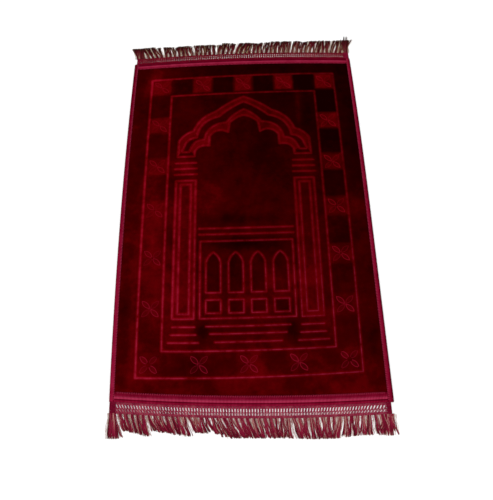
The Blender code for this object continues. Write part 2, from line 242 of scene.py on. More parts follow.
# The pressed lines. Rectangles are (middle x, middle y, half width, half height).
# Those off the middle line are mirrored.
FURROW_HALF_WIDTH = 0.0036
FURROW_DEPTH = 0.0013
ARC_STEPS = 10
BORDER_FRAMES = ((0, -0.001, 0.287, 0.479), (0, -0.001, 0.223, 0.4105))
COLUMN_FRAMES = ((0.1695, -0.115, 0.0285, 0.211), (0.1695, -0.115, 0.0145, 0.197))
PANEL_FRAME = (0, -0.2135, 0.126, 0.1115)
WINDOW_CENTRES = (0.030, 0.0905)
WINDOW_HALF = 0.0195
WINDOW_BULGE = 0.004
WINDOW_HEAD, WINDOW_SPRING, WINDOW_SILL = -0.136, -0.168, -0.2535
LIGHT_TOP, LIGHT_BOTTOM = -0.274, -0.3105

# Straight bars are (middle x, y, half length), mirrored in the same way.
BARS = (
    (0.1725, 0.1955, 0.0105),
    (0.171, 0.179, 0.0245),
    (0.171, 0.1565, 0.0300),
    (0.171, 0.1365, 0.0310),
    (0.171, 0.117, 0.0315),
    (0.168, -0.3475, 0.029),
    (0.168, -0.3685, 0.033),
    (0.168, -0.3895, 0.039),
    (0, -0.0625, 0.129),
    (0, -0.081, 0.129),
    (0, -0.3465, 0.110),
    (0, -0.3665, 0.099),
    (0, -0.3885, 0.086),
)

# The right half of each line of the lobed arch, from its head down, as
# (x, y, bulge of the stretch before it).
ARCH_LINES = (
    (
        (0, 0.395, 0),
        (0.085, 0.341, 0.004),
        (0.152, 0.271, 0.012),
        (0.194, 0.235, 0.006),
        (0.1955, 0.1835, 0),
    ),
    (
        (0, 0.375, 0),
        (0.074, 0.322, 0.004),
        (0.141, 0.247, 0.018),
        (0.174, 0.226, 0.005),
        (0.183, 0.2000, 0),
    ),
    (
        (0, 0.346, 0),
        (0.053, 0.299, 0.005),
        (0.119, 0.239, 0.018),
        (0.158, 0.208, 0.009),
        (0.162, 0.2000, 0),
    ),
    (
        (0, 0.324, 0),
        (0.043, 0.297, 0.004),
        (0.048, 0.262, 0),
        (0.103, 0.250, 0.014),
        (0.1035, 0.215, 0),
        (0.1455, 0.199, 0.008),
        (0.1465, 0.1835, 0),
    ),
)

# Flowers of four petals stand in the border, at its corners and between them.
FLOWER_COLUMN_X, FLOWER_ROW_Y = 0.255, 0.446
FLOWERS_IN_COLUMN = (0, 0.149, 0.297)
FLOWERS_IN_ROW = (0, 0.127)
PETAL_OUT, PETAL_LONG, PETAL_WIDE = 0.0165, 0.0145, 0.0058
PETAL_HALF_LINE = 0.0016
PETAL_LINE_DEPTH = 0.0008
PETAL_DIMPLE = 0.0005
FLOWER_HALF = 0.030
FLOWER_FADE = 0.010
FLOWER_PRESS = 0.0004

# How light the nap looks, from 0 to 1, darker towards the far end and the right: partly the nap leaning
# away from the near left corner, and partly painted light, for the light falling off and the velvet's
# sheen.
NAP_MIDDLE = 0.405
NAP_AND_LIGHT_LESS_TO_FAR_END = 0.37
NAP_AND_LIGHT_LESS_TO_RIGHT = 0.28
NAP_AND_LIGHT_LESS_TO_FAR_RIGHT = 0.50

# How light the pressed lines look, darker towards the right in the same way: partly painted light.
LINE_NAP, LINE_LESS_LIT_TO_RIGHT, LINE_FOLLOWS_PILE = 0.635, 0.26, 0.30

# How the pile's tone changes inside each part of the pattern; inside the windows and lights it is painted
# shade. The border's changes grow to the far end.
TABLET_NAP_NEAR, TABLET_NAP_FAR, TABLET_LESS_TO_FAR_RIGHT = -0.03, -0.13, 0.40
FLOWER_NAP, FLOWER_SHARE_NEAR, FLOWER_SHARE_FAR = 0.70, 0.08, 0.90
MOULDING_NAP = 0.30
CHANNEL_NAP = 0.03
WINDOW_PAINTED_SHADE = -0.14
COLUMN_NAP = 0.16
COLUMN_MIDDLE_NAP = 0.09
PART_EDGE = 0.003
BORDER_BLURS_OUT, BORDER_BLURS_IN = 0.001, 0.003
BOLD_PETAL, FAINT_PETAL = 1.0, 0.5

# Lighter and darker patches where hands and feet have brushed the nap, and painted shade where close lines
# crowd together: (middle x, middle y, reach across, reach along, change).
NAP_AND_SHADE_PATCHES = (
    (0.055, 0.200, 0.045, 0.090, -0.10),
    (-0.171, 0.150, 0.030, 0.034, 0.17),
    (0.171, 0.150, 0.030, 0.034, 0.20),
    (0.000, -0.034, 0.110, 0.020, -0.22),
    (0.070, -0.230, 0.060, 0.050, 0.11),
    (-0.110, 0.020, 0.045, 0.110, 0.12),
    (0.020, 0.000, 0.070, 0.050, 0.05),
    (0.000, -0.110, 0.110, 0.018, -0.36),
    (-0.170, 0.360, 0.060, 0.050, 0.08),
    (0.130, 0.370, 0.050, 0.060, -0.10),
    (0.168, 0.360, 0.009, 0.060, 0.26),
    (0.195, 0.340, 0.014, 0.070, -0.10),
    (-0.275, 0.470, 0.034, 0.045, 0.40),
    (-0.215, 0.500, 0.030, 0.016, 0.08),
    (0.315, 0.000, 0.040, 0.035, 0.20),
    (0.320, 0.300, 0.030, 0.160, -0.08),
    (-0.320, -0.350, 0.022, 0.120, -0.14),
    (-0.300, -0.350, 0.010, 0.160, 0.10),
    (0.320, -0.400, 0.030, 0.120, -0.16),
    (-0.255, -0.080, 0.035, 0.220, 0.20),
    (-0.120, -0.365, 0.020, 0.035, -0.24),
    (0.117, -0.365, 0.022, 0.035, -0.26),
    (0.000, -0.360, 0.090, 0.045, -0.10),
    (-0.120, -0.446, 0.110, 0.030, -0.16),
    (0.020, -0.450, 0.022, 0.050, 0.24),
    (0.140, -0.446, 0.110, 0.030, -0.08),
    (0.000, -0.515, 0.400, 0.030, -0.06),
    (0.000, -0.515, 0.090, 0.030, 0.07),
    (0.000, 0.505, 0.120, 0.020, -0.12),
)


def lie(x, y):
    """Where points of the flat cut come to lie on the floor."""
    across, along = 2 * x / CLOTH_WIDTH, 2 * y / CLOTH_LENGTH
    spread = np.maximum(0, across - SPREAD_FROM) / (1 - SPREAD_FROM) * (along < 0)
    drawn_x = x * (1 + SIDE_BOW - CORNER_DRAW_ACROSS * along**2 * (1 - spread))
    drawn_y = y * (1 + END_BOW - CORNER_DRAW_ALONG * across**2 + RIGHT_SIDE_LONGER * across)
    return drawn_x, drawn_y


def smooth(value, start, end):
    """0 at start, 1 at end, smooth between them."""
    share = np.clip((value - start) / (end - start), 0, 1)
    return share * share * (3 - 2 * share)


def askew(x, y):
    """How far the pattern was pressed off square at this point, fading out to the pile's edge.

    It is most at the near end, and least a quarter of the way from the middle to the far end.
    """
    inside = smooth(abs(x), PILE_HALF_X, SKEW_FULL_X) * smooth(abs(y), PILE_HALF_Y, SKEW_FULL_Y)
    along = 2 * y / CLOTH_LENGTH
    return PATTERN_SKEW * x * (1 - 0.5 * along + along**2) * inside


def bulged(start, end, bulge):
    """Points from start up to, but not including, end, bulging out from the arch's inside."""
    if not bulge:
        return [start]
    start, end = Vector(start), Vector(end)
    outwards = Vector((start.y - end.y, end.x - start.x)).normalized()
    shares = [i / ARC_STEPS for i in range(ARC_STEPS)]
    return [tuple(start.lerp(end, t) + outwards * bulge * 4 * t * (1 - t)) for t in shares]


def closed_frame(middle_x, middle_y, half_width, half_height):
    left, right = middle_x - half_width, middle_x + half_width
    low, high = middle_y - half_height, middle_y + half_height
    return [(left, low), (right, low), (right, high), (left, high), (left, low)]


def window_outline(middle_x):
    """A window with a pointed head, a straight sill and upright sides."""
    left, right = middle_x - WINDOW_HALF, middle_x + WINDOW_HALF
    outline = [(left, WINDOW_SILL)]
    outline += bulged((left, WINDOW_SPRING), (middle_x, WINDOW_HEAD), WINDOW_BULGE)
    outline += bulged((middle_x, WINDOW_HEAD), (right, WINDOW_SPRING), WINDOW_BULGE)
    return outline + [(right, WINDOW_SPRING), (right, WINDOW_SILL), (left, WINDOW_SILL)]


def light_outline(middle_x):
    """A square light below a window."""
    middle_y, half_height = (LIGHT_TOP + LIGHT_BOTTOM) / 2, (LIGHT_TOP - LIGHT_BOTTOM) / 2
    return closed_frame(middle_x, middle_y, WINDOW_HALF, half_height)


def arch_outline(rows):
    """The whole lobed line: its left half is the mirror of its right half."""
    right = []
    for (x0, y0, _), (x1, y1, bulge) in zip(rows, rows[1:]):
        right += bulged((x0, y0), (x1, y1), bulge)
    right.append(rows[-1][:2])
    return [(-x, y) for x, y in reversed(right[1:])] + right


def pattern_lines():
    """Every pressed line as a run of points on the flat cut. A closed one ends where it starts."""
    lines = [closed_frame(*row) for row in (*BORDER_FRAMES, *COLUMN_FRAMES, PANEL_FRAME)]
    lines += [window_outline(x) for x in WINDOW_CENTRES]
    lines += [light_outline(x) for x in WINDOW_CENTRES]
    lines += [[(x - half, y), (x + half, y)] for x, y, half in BARS]
    mirrored = [[(-x, y) for x, y in line] for line in lines if min(x for x, _ in line) > 0]
    return lines + mirrored + [arch_outline(rows) for rows in ARCH_LINES]


def distance_to_lines(x, y):
    """How far each point lies from the nearest pressed line."""
    nearest = np.ones_like(x)
    for line in pattern_lines():
        for (x0, y0), (x1, y1) in zip(line, line[1:]):
            dx, dy = x1 - x0, y1 - y0
            share = np.clip(((x - x0) * dx + (y - y0) * dy) / (dx * dx + dy * dy), 0, 1)
            nearest = np.minimum(nearest, np.hypot(x - x0 - share * dx, y - y0 - share * dy))
    return nearest


def flower_centres():
    centres = [(x, FLOWER_ROW_Y) for x in (*FLOWERS_IN_ROW, FLOWER_COLUMN_X)]
    centres += [(FLOWER_COLUMN_X, y) for y in FLOWERS_IN_COLUMN]
    return sorted({(a * x, b * y) for x, y in centres for a in (-1, 1) for b in (-1, 1)})


def petal_places(x, y):
    """Each point's distance to the nearest petal's outline, its place along it, and the petal's boldness.

    The distance is less than 0 inside the petal. Each flower has two bold petals and two faint ones.
    """
    to_outline, along_petal, bold = np.ones_like(x), np.zeros_like(x), np.zeros_like(x)
    for centre_x, centre_y in flower_centres():
        for quarter in range(4):
            angle = math.radians(45 + 90 * quarter)
            out_x, out_y = math.cos(angle), math.sin(angle)
            along = (x - centre_x) * out_x + (y - centre_y) * out_y - PETAL_OUT
            across = np.abs((y - centre_y) * out_x - (x - centre_x) * out_y)
            half_wide = PETAL_WIDE * (1 - (along / PETAL_LONG) ** 2)
            slope = 2 * PETAL_WIDE * along / PETAL_LONG**2
            distance = (across - half_wide) / np.hypot(1, slope)
            nearer = (distance < to_outline) & (np.abs(along) < PETAL_LONG + PETAL_HALF_LINE)
            to_outline = np.where(nearer, distance, to_outline)
            along_petal = np.where(nearer, along, along_petal)
            bold = np.where(nearer, BOLD_PETAL if quarter % 2 else FAINT_PETAL, bold)
    return to_outline, along_petal, bold


def snap(values, lines):
    """Shifts the grid's rows so that a row runs along the middle of each straight line."""
    rows, targets = [values.min()], [values.min()]
    for line in sorted(lines):
        row = values[np.abs(values - line).argmin()]
        if row > rows[-1] + CELL / 2 and line > targets[-1] + CELL / 2:
            rows.append(row)
            targets.append(line)
    return [*rows, values.max()], [*targets, values.max()]


def line_places(axis):
    """Where the straight lines cross an axis: 0 for the upright ones, 1 for the level ones."""
    places = set()
    for line in pattern_lines():
        for start, end in zip(line, line[1:]):
            if abs(start[axis] - end[axis]) < 1e-6 and math.dist(start, end) > 2 * CELL:
                places.add(round(start[axis], 5))
    return places


def coordinates(bm):
    return np.array([vert.co for vert in bm.verts])


def refine(bm, reach):
    """Halves every edge that lies this near the pattern."""
    x, y, _ = coordinates(bm).T
    near = (distance_to_lines(x, y) < reach) | (petal_places(x, y)[0] < reach)
    bm.verts.index_update()
    edges = [e for e in bm.edges if near[e.verts[0].index] and near[e.verts[1].index]]
    bmesh.ops.subdivide_edges(bm, edges=edges, cuts=1, use_grid_fill=True)


def pile_grid():
    """The pile's top as a grid on the flat cut, with rows along the pattern's straight lines."""
    half_x, half_y = PILE_HALF_X - SHOULDER, PILE_HALF_Y - SHOULDER
    bm = bmesh.new()
    columns, rows = round(2 * half_x / CELL), round(2 * half_y / CELL)
    bmesh.ops.create_grid(bm, x_segments=columns, y_segments=rows, size=1)
    bmesh.ops.scale(bm, vec=(half_x, half_y, 1), verts=bm.verts)
    x, y, _ = coordinates(bm).T
    snapped_x = np.interp(x, *snap(np.unique(x.round(6)), line_places(0)))
    snapped_y = np.interp(y, *snap(np.unique(y.round(6)), line_places(1)))
    for vert, new_x, new_y in zip(bm.verts, snapped_x, snapped_y):
        vert.co.x, vert.co.y = new_x, new_y
    refine(bm, FINE_REACH)
    refine(bm, FINEST_REACH)
    return bm


def close_cloth(bm):
    """Adds the pile's shoulder, its side, the pressed rim and the underside, ring by ring."""
    shoulder = [
        (PILE_HALF_X - SHOULDER * left, PILE_HALF_Y - SHOULDER * left, PILE_TOP - drop, 0)
        for left, drop in SHOULDER_PROFILE
    ]
    rings = (
        *shoulder,
        (PILE_HALF_X, PILE_HALF_Y, RIM_TOP, 1),
        (RIM_REACH_X, RIM_REACH_Y, RIM_TOP, 1),
        (RIM_REACH_X, RIM_REACH_Y, RIM_BOTTOM, 1),
        (PILE_HALF_X, PILE_HALF_Y, RIM_BOTTOM, 1),
        (PILE_HALF_X, PILE_HALF_Y, 0, 1),
    )
    edge = [e for e in bm.edges if e.is_boundary]
    for reach_x, reach_y, height, ground in rings:
        drawn = bmesh.ops.extrude_edge_only(bm, edges=edge)["geom"]
        verts = [part for part in drawn if isinstance(part, bmesh.types.BMVert)]
        size_x, size_y = max(v.co.x for v in verts), max(v.co.y for v in verts)
        bmesh.ops.scale(bm, vec=(reach_x / size_x, reach_y / size_y, 1), verts=verts)
        for vert in verts:
            vert.co.z = height
        for part in drawn:
            if isinstance(part, bmesh.types.BMFace):
                part.material_index = ground
        edge = [e for e in bm.edges if e.is_boundary]
    underside = bmesh.ops.contextual_create(bm, geom=edge)["faces"]
    for face in underside:
        face.material_index = 1


def nap_and_light_tone(x, y, to_line):
    """How light the pile looks at each point of the flat cut, with painted light falloff and painted shade
    in it.
    """
    # Darker towards the far end and the right: partly the nap's lean and partly painted light falloff.
    tone = NAP_MIDDLE - NAP_AND_LIGHT_LESS_TO_FAR_END * y - NAP_AND_LIGHT_LESS_TO_RIGHT * x - NAP_AND_LIGHT_LESS_TO_FAR_RIGHT * x * y
    # Brushed patches of nap, and painted shade where close lines crowd together.
    for middle_x, middle_y, across, along, change in NAP_AND_SHADE_PATCHES:
        tone = tone + change * np.exp(-(((x - middle_x) / across) ** 2) - ((y - middle_y) / along) ** 2)
    for outline, change in pattern_parts():
        tone = tone + change * within(x, y, outline) * smooth(to_line, 0, PART_EDGE)
    flower = in_flower(x, y)
    far = (y / FLOWER_ROW_Y + 1) / 2
    tablet = TABLET_NAP_NEAR + (TABLET_NAP_FAR - TABLET_NAP_NEAR - TABLET_LESS_TO_FAR_RIGHT * x) * far
    tone = tone + tablet * (in_border(x, y) - flower)
    share = FLOWER_SHARE_NEAR + (FLOWER_SHARE_FAR - FLOWER_SHARE_NEAR) * far
    return tone + (FLOWER_NAP - tone) * flower * share


def pattern_parts():
    """The closed outlines inside which the pile's tone changes, each with its change; inside the windows
    and lights it is painted shade.
    """
    arches = [arch_outline(rows) for rows in ARCH_LINES]
    bands = zip(arches, arches[1:], (MOULDING_NAP, CHANNEL_NAP, MOULDING_NAP))
    parts = [([*outer, *inner[::-1], outer[0]], change) for outer, inner, change in bands]
    (column_x, *column), (middle_x, *middle) = COLUMN_FRAMES
    for hand in (-1, 1):
        parts.append((closed_frame(hand * column_x, *column), COLUMN_NAP))
        parts.append((closed_frame(hand * middle_x, *middle), COLUMN_MIDDLE_NAP - COLUMN_NAP))
        # Painted shade inside each window and the light below it.
        for x in WINDOW_CENTRES:
            parts.append((window_outline(hand * x), WINDOW_PAINTED_SHADE))
            parts.append((light_outline(hand * x), WINDOW_PAINTED_SHADE))
    return parts


def within(x, y, outline):
    """Whether each point lies inside a closed outline."""
    inside = np.zeros(x.shape, bool)
    for (x0, y0), (x1, y1) in zip(outline, outline[1:]):
        if y0 != y1:
            level = (y0 > y) != (y1 > y)
            inside ^= level & (x < x0 + (x1 - x0) * (y - y0) / (y1 - y0))
    return inside


def in_border(x, y):
    """1 inside the flower border and 0 outside it, soft at its two lines."""
    (_, middle_out, wide_out, high_out), (_, middle_in, wide_in, high_in) = BORDER_FRAMES
    outside = np.maximum(np.abs(x) - wide_out, np.abs(y - middle_out) - high_out)
    inside = np.maximum(np.abs(x) - wide_in, np.abs(y - middle_in) - high_in)
    within_outer = smooth(outside, BORDER_BLURS_OUT, -BORDER_BLURS_IN)
    return within_outer * smooth(inside, -BORDER_BLURS_OUT, BORDER_BLURS_IN)


def in_flower(x, y):
    """1 on the pressed square round each flower and 0 off it, soft at its rim."""
    pressed = np.zeros_like(x)
    fade_start, fade_end = FLOWER_HALF + FLOWER_FADE / 2, FLOWER_HALF - FLOWER_FADE / 2
    for centre_x, centre_y in flower_centres():
        off = np.maximum(np.abs(x - centre_x), np.abs(y - centre_y))
        pressed = np.maximum(pressed, smooth(off, fade_start, fade_end))
    return pressed * in_border(x, y)


def press_pattern(piece):
    """Sinks the pattern into the pile, keeps on the mesh what the finish needs, and lays the cloth."""
    mesh = piece.data
    co = np.zeros(len(mesh.vertices) * 3, np.float32)
    mesh.vertices.foreach_get("co", co)
    co = co.reshape(-1, 3).astype(float)
    x, y = co[:, 0].copy(), co[:, 1].copy()
    to_line = distance_to_lines(x, y)
    to_petal, along_petal, bold_petal = petal_places(x, y)
    is_top = co[:, 2] > PILE_TOP - SHOULDER
    depth = FURROW_DEPTH * smooth(to_line, FURROW_HALF_WIDTH, 0)
    petal = PETAL_LINE_DEPTH * smooth(np.abs(to_petal), PETAL_HALF_LINE, 0)
    petal += PETAL_DIMPLE * smooth(to_petal, 0, -PETAL_WIDE)
    depth = np.maximum(depth, petal + FLOWER_PRESS * in_flower(x, y))
    co[:, 2] -= depth * is_top
    co[:, 0], co[:, 1] = lie(x, y + askew(x, y))
    mesh.vertices.foreach_set("co", co.astype(np.float32).ravel())
    kept = {
        "to_line": to_line,
        "to_petal": to_petal,
        "along_petal": along_petal,
        "bold_petal": bold_petal,
        "nap": nap_and_light_tone(x, y, to_line),
    }
    for name, values in kept.items():
        mesh.attributes.new(name, "FLOAT", "POINT").data.foreach_set("value", values.astype(np.float32))
    mesh.shade_smooth()


def attribute(node, name):
    return node("ShaderNodeAttribute", {"attribute_name": name}, output=2)


PLAIN_PILE = (
    (0.00, (0.0050, 0.0000, 0.0000)),
    (0.25, (0.0133, 0.0000, 0.0000)),
    (0.50, (0.0353, 0.0000, 0.0001)),
    (0.75, (0.0940, 0.0001, 0.0010)),
    (1.00, (0.2500, 0.0030, 0.0120)),
)
# The pink of the painted sheen highlight on the pressed bands.
PAINTED_SHEEN_PINK = (0.3400, 0.0220, 0.0700, 1)

# How far from a pressed line's middle its band stays bright, and where it ends. The same for the painted
# pink highlight along its middle, for a petal's outline and for the hatching inside the petal.
BAND_FULL, BAND_END = 0.0012, 0.0066
GLINT_FULL, GLINT_END = 0.0002, 0.0022
OUTLINE_FULL = 0.0004
HATCH_FULL, HATCH_END = -0.0012, 0.0002
HATCH_PITCH = 0.0030
GROUND_PITCH = 0.0016


def make_plush():
    """Cut pile: nearly black red where the nap leans away, and bright red bands where it is pressed down.

    The bands carry a painted pink highlight in their middle, the sheen of the flattened pile, most of all
    near the near end.
    """
    finish, node = new_finish("plush_pile")
    place = node("ShaderNodeTexCoord", output=3)
    across_rug, along_rug = (
        node("ShaderNodeSeparateXYZ", {}, {"Vector": place}, output=axis) for axis in (0, 1)
    )
    sheen_towards_near_end = 1 - along_rug.rise(-0.50, 0.10)
    mottled = {"Vector": place, "Detail": 3.0, "Roughness": 0.6}
    blotch = node("ShaderNodeTexNoise", {}, {**mottled, "Scale": 12.0})
    brushed = node("ShaderNodeTexNoise", {}, {**mottled, "Scale": 55.0})
    tuft = node("ShaderNodeTexNoise", {}, {"Vector": place, "Scale": 900.0, "Detail": 2.0})
    # The nap attribute carries the painted light falloff and the painted shade among close lines.
    base = attribute(node, "nap") + (blotch - 0.5) * 0.50 + (brushed - 0.5) * 0.30
    to_line = attribute(node, "to_line")
    band = (1 - to_line.rise(BAND_FULL, BAND_END)) * (0.58 + brushed * 0.66)
    # The lines are painted darker towards the right: painted light falloff.
    line = LINE_NAP - across_rug * LINE_LESS_LIT_TO_RIGHT + base * LINE_FOLLOWS_PILE
    pressed = base + band * (line - base)
    to_petal = attribute(node, "to_petal")
    outline = 1 - to_petal.math("ABSOLUTE", to_petal).rise(OUTLINE_FULL, PETAL_HALF_LINE)
    along_petal = attribute(node, "along_petal")
    hatch = (1 - to_petal.rise(HATCH_FULL, HATCH_END)) * along_petal.wave(HATCH_PITCH)
    petal = (outline * 0.85 + hatch * 0.25) * attribute(node, "bold_petal")
    tone = pressed + petal * (0.84 - pressed) + (tuft - 0.5) * 0.12
    plain = node("ShaderNodeValToRGB", {"stops": PLAIN_PILE}, {"Fac": tone})
    # A painted glint of sheen along the middle of each band, broken up along it, and on the petals'
    # outlines; strongest towards the near end.
    crease = (1 - to_line.rise(GLINT_FULL, GLINT_END)) * brushed.rise(0.25, 0.75)
    painted_sheen = (crease + petal * 0.35) * (sheen_towards_near_end * 0.32 + 0.06)
    colour = mix_colour(node, painted_sheen, plain, PAINTED_SHEEN_PINK)
    bump = node("ShaderNodeBump", {}, {"Height": tuft, "Strength": 0.5, "Distance": 0.0006})
    surface(node, {
        "Base Color": colour,
        "Roughness": 0.9,
        "Specular IOR Level": 0.0,
        "Sheen Weight": 0.04,
        "Sheen Roughness": 0.4,
        "Sheen Tint": (0.7, 0.0, 0.02, 1),
        "Normal": bump,
    })
    return finish


def make_ground():
    """The woven ground that shows only from below: plain weave in dull dark red."""
    finish, node = new_finish("woven_ground")
    place = {"Vector": node("ShaderNodeTexCoord", output=3)}
    across, along = (node("ShaderNodeSeparateXYZ", {}, place, output=axis) for axis in (0, 1))
    # The weave is painted darker between its threads: painted shade.
    weave = across.wave(GROUND_PITCH) * along.wave(GROUND_PITCH)
    colour = mix_colour(node, weave, (0.030, 0.001, 0.003, 1), (0.085, 0.004, 0.010, 1))
    bump = node("ShaderNodeBump", {}, {"Height": weave, "Strength": 0.6, "Distance": 0.0004})
    surface(node, {"Base Color": colour, "Roughness": 0.95, "Specular IOR Level": 0.1, "Normal": bump})
    return finish


def make_pile_cloth():
    bm = pile_grid()
    for vert in bm.verts:
        vert.co.z = PILE_TOP
    close_cloth(bm)
    bmesh.ops.recalc_face_normals(bm, faces=bm.faces)
    piece = new_piece("plush_cloth", bm, make_plush(), make_ground())
    press_pattern(piece)
    return piece


plush_cloth = make_pile_cloth()
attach(plush_cloth, "root")
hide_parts("pile_cloth")


# ---------------------------------------------------------------- side bindings
# A strip of satin tape is folded over each long edge and oversewn along its inner edge with short slanted
# stitches. It runs the full length of the cloth and puckers a little along the seam.

# A folded tape's section: its wall, the leg under the cloth's rim, and the heights of its two edges.
TAPE_WALL = 0.0012
UNDER_LEG = 0.0011
TAPE_EDGE_TOP = 0.0050
TAPE_EDGE_BEVEL = 0.0003
OUTER_EDGE_HEIGHT = 0.0030
ROUND_STEPS = 7
SIDE_CROWN_IN, SIDE_CROWN_TOP = 0.0062, 0.0065

# Its puckers, a little uneven, and its two ends, which are tucked in and get thinner.
PUCKER_PITCH = 0.0088
SIDE_STATION = PUCKER_PITCH / 4
PUCKER = 0.00035
PUCKER_DRIFT, PUCKER_DRIFT_RATE = 1.3, 21
TUCKED_END, TUCKED_THIN = 0.0035, 0.35

# Along a stitch: (share of its width and slant, height over the tape), from the pile's rim into the tape.
STITCH_STEPS = ((-0.5, 0.0), (-0.2, 0.0009), (0.2, 0.0003), (0.5, -0.0005))
STITCH_PITCH = 0.0044
STITCH_SLANT = 0.0010
STITCH_WIDE = 0.0046
STITCH_RADIUS = 0.00062
STITCH_IN_FROM_EDGE = 0.0020
SIDE_STITCH_HEIGHT = 0.0061


def quarter_round(start, end, bow_first):
    """Points from start to, but not including, end along a quarter of an ellipse."""
    points = []
    for i in range(ROUND_STEPS):
        angle = math.pi / 2 * i / ROUND_STEPS
        fast, slow = math.sin(angle), 1 - math.cos(angle)
        across, up = (fast, slow) if bow_first else (slow, fast)
        points.append((start[0] + (end[0] - start[0]) * across, start[1] + (end[1] - start[1]) * up))
    return points


def tape_underside(tape):
    """A folded tape's section, from the middle of its underside round inside it to its inner top edge."""
    inside_top = RIM_TOP + GAP
    return [
        (tape / 2, 0),
        (tape, 0),
        (tape, UNDER_LEG),
        (TAPE_WALL, UNDER_LEG),
        (TAPE_WALL, inside_top),
        (tape, inside_top),
        (tape, TAPE_EDGE_TOP - TAPE_EDGE_BEVEL),
    ]


def side_section():
    """The section of a side tape as (in from the outer edge, height), once round."""
    crown = (SIDE_CROWN_IN, SIDE_CROWN_TOP)
    section = tape_underside(SIDE_TAPE)
    section += quarter_round((SIDE_TAPE - TAPE_EDGE_BEVEL, TAPE_EDGE_TOP), crown, bow_first=False)
    section += quarter_round(crown, (0, OUTER_EDGE_HEIGHT), bow_first=True)
    section += quarter_round((0, OUTER_EDGE_HEIGHT), (TAPE_WALL, 0), bow_first=True)
    return section + [(TAPE_WALL, 0)]


def roll_tape(section, half_length, station, place):
    """A tape as a grid: its rows are wrapped round the section, and its columns run along the edge."""
    columns = round(2 * half_length / station)
    rows = len(section)
    closed = [*section, section[0]]
    bm = bmesh.new()
    along_tape = bm.verts.layers.float.new("along_tape")
    across_tape = bm.verts.layers.float.new("across_tape")
    bmesh.ops.create_grid(bm, x_segments=columns, y_segments=rows, size=1)
    for vert in bm.verts:
        inwards, height = closed[round((vert.co.y + 1) / 2 * rows)]
        along = vert.co.x * half_length
        vert[along_tape], vert[across_tape] = along, inwards
        vert.co = place(inwards, height, along)
    bmesh.ops.remove_doubles(bm, verts=bm.verts, dist=1e-6)
    bmesh.ops.holes_fill(bm, edges=[e for e in bm.edges if e.is_boundary])
    bmesh.ops.recalc_face_normals(bm, faces=bm.faces)
    return bm


def tucked(along, half_length):
    """1 along the tape, falling at its two ends, where it is folded in on itself."""
    left = (half_length - abs(along)) / TUCKED_END
    return math.sqrt(max(0.0, 1 - (1 - min(left, 1)) ** 2)) * (1 - TUCKED_THIN) + TUCKED_THIN


def place_side(hand):
    """Where a point of a side tape goes: hand is -1 on the left and 1 on the right."""

    def place(inwards, height, along):
        end = tucked(along, CLOTH_LENGTH / 2)
        is_top = max(0.0, (height - RIM_TOP) / (SIDE_CROWN_TOP - RIM_TOP))
        drift = PUCKER_DRIFT * math.sin(PUCKER_DRIFT_RATE * along)
        pucker = PUCKER * math.cos(2 * math.pi * along / PUCKER_PITCH + drift)
        x, y = lie(hand * (CLOTH_WIDTH / 2 - inwards), along)
        return x, y, height * end + pucker * is_top

    return place


def make_satin(name, rib_pitch, rib_share):
    """Woven satin tape: fine ribs across it, painted lighter and darker most where the tape is painted lit,
    on a tone that carries painted highlights and painted shade.
    """
    finish, node = new_finish(name)
    place = node("ShaderNodeTexCoord", output=3)
    soiled = node("ShaderNodeTexNoise", {}, {"Vector": place, "Scale": 45.0, "Detail": 3.0})
    weave = node("ShaderNodeTexNoise", {}, {"Vector": place, "Scale": 1300.0, "Detail": 1.0})
    rib = attribute(node, "along_tape").wave(rib_pitch)
    # The tape's tone with its painted highlights and painted shade; the ribs' painted shading scales with
    # it.
    worn = attribute(node, "worn")
    tone = worn + (soiled - 0.5) * 0.35 + (rib - 0.5) * rib_share * worn + (weave - 0.5) * 0.15
    stops = (
        (0.00, (0.035, 0.0001, 0.0030)),
        (0.35, (0.108, 0.0004, 0.0080)),
        (0.70, (0.220, 0.0050, 0.0280)),
        (1.00, (0.360, 0.0330, 0.0800)),
    )
    colour = node("ShaderNodeValToRGB", {"stops": stops}, {"Fac": tone})
    relief = rib * 0.6 + weave * 0.4
    bump = node("ShaderNodeBump", {}, {"Height": relief, "Strength": 0.5, "Distance": 0.0004})
    surface(node, {
        "Base Color": colour,
        "Roughness": 0.6,
        "Specular IOR Level": 0.0,
        "Sheen Weight": 0.02,
        "Sheen Tint": (1.0, 0.02, 0.15, 1),
        "Normal": bump,
    })
    return finish


def mark_painted_light(piece, steps, fades=0.0):
    """Keeps on the mesh the tape's tone with its painted highlights and painted shade, for the finish.

    steps are (inwards, tone) across the tape, and fades is the share of it that is lost by the far end.
    """
    mesh = piece.data
    across = np.zeros(len(mesh.vertices), np.float32)
    along = np.zeros(len(mesh.vertices), np.float32)
    mesh.attributes["across_tape"].data.foreach_get("value", across)
    mesh.attributes["along_tape"].data.foreach_get("value", along)
    worn = np.interp(across, *zip(*steps)) * (1 - fades * (0.5 + along / CLOTH_LENGTH))
    mesh.attributes.new("worn", "FLOAT", "POINT").data.foreach_set("value", worn.astype(np.float32))
    mesh.shade_smooth()


def sew(name, half_length, place, finish):
    """A row of short threads across a tape's inner edge. It stops one stitch short of the tape's ends."""
    bm = bmesh.new()
    count = int(2 * half_length / STITCH_PITCH) - 2
    middles = [(i - (count - 1) / 2) * STITCH_PITCH for i in range(count)]
    paths = [
        [place(middle + STITCH_SLANT * share, STITCH_WIDE * share, lift) for share, lift in STITCH_STEPS]
        for middle in middles
    ]
    spin_yarns(bm, np.array(paths), np.full((count, len(STITCH_STEPS)), STITCH_RADIUS), sides=5)
    piece = new_piece(name, bm, finish)
    piece.data.shade_smooth()
    return piece


def kept_layer(layers, name):
    """The layer of this name, made if the mesh has none yet."""
    return layers.get(name) or layers.new(name)


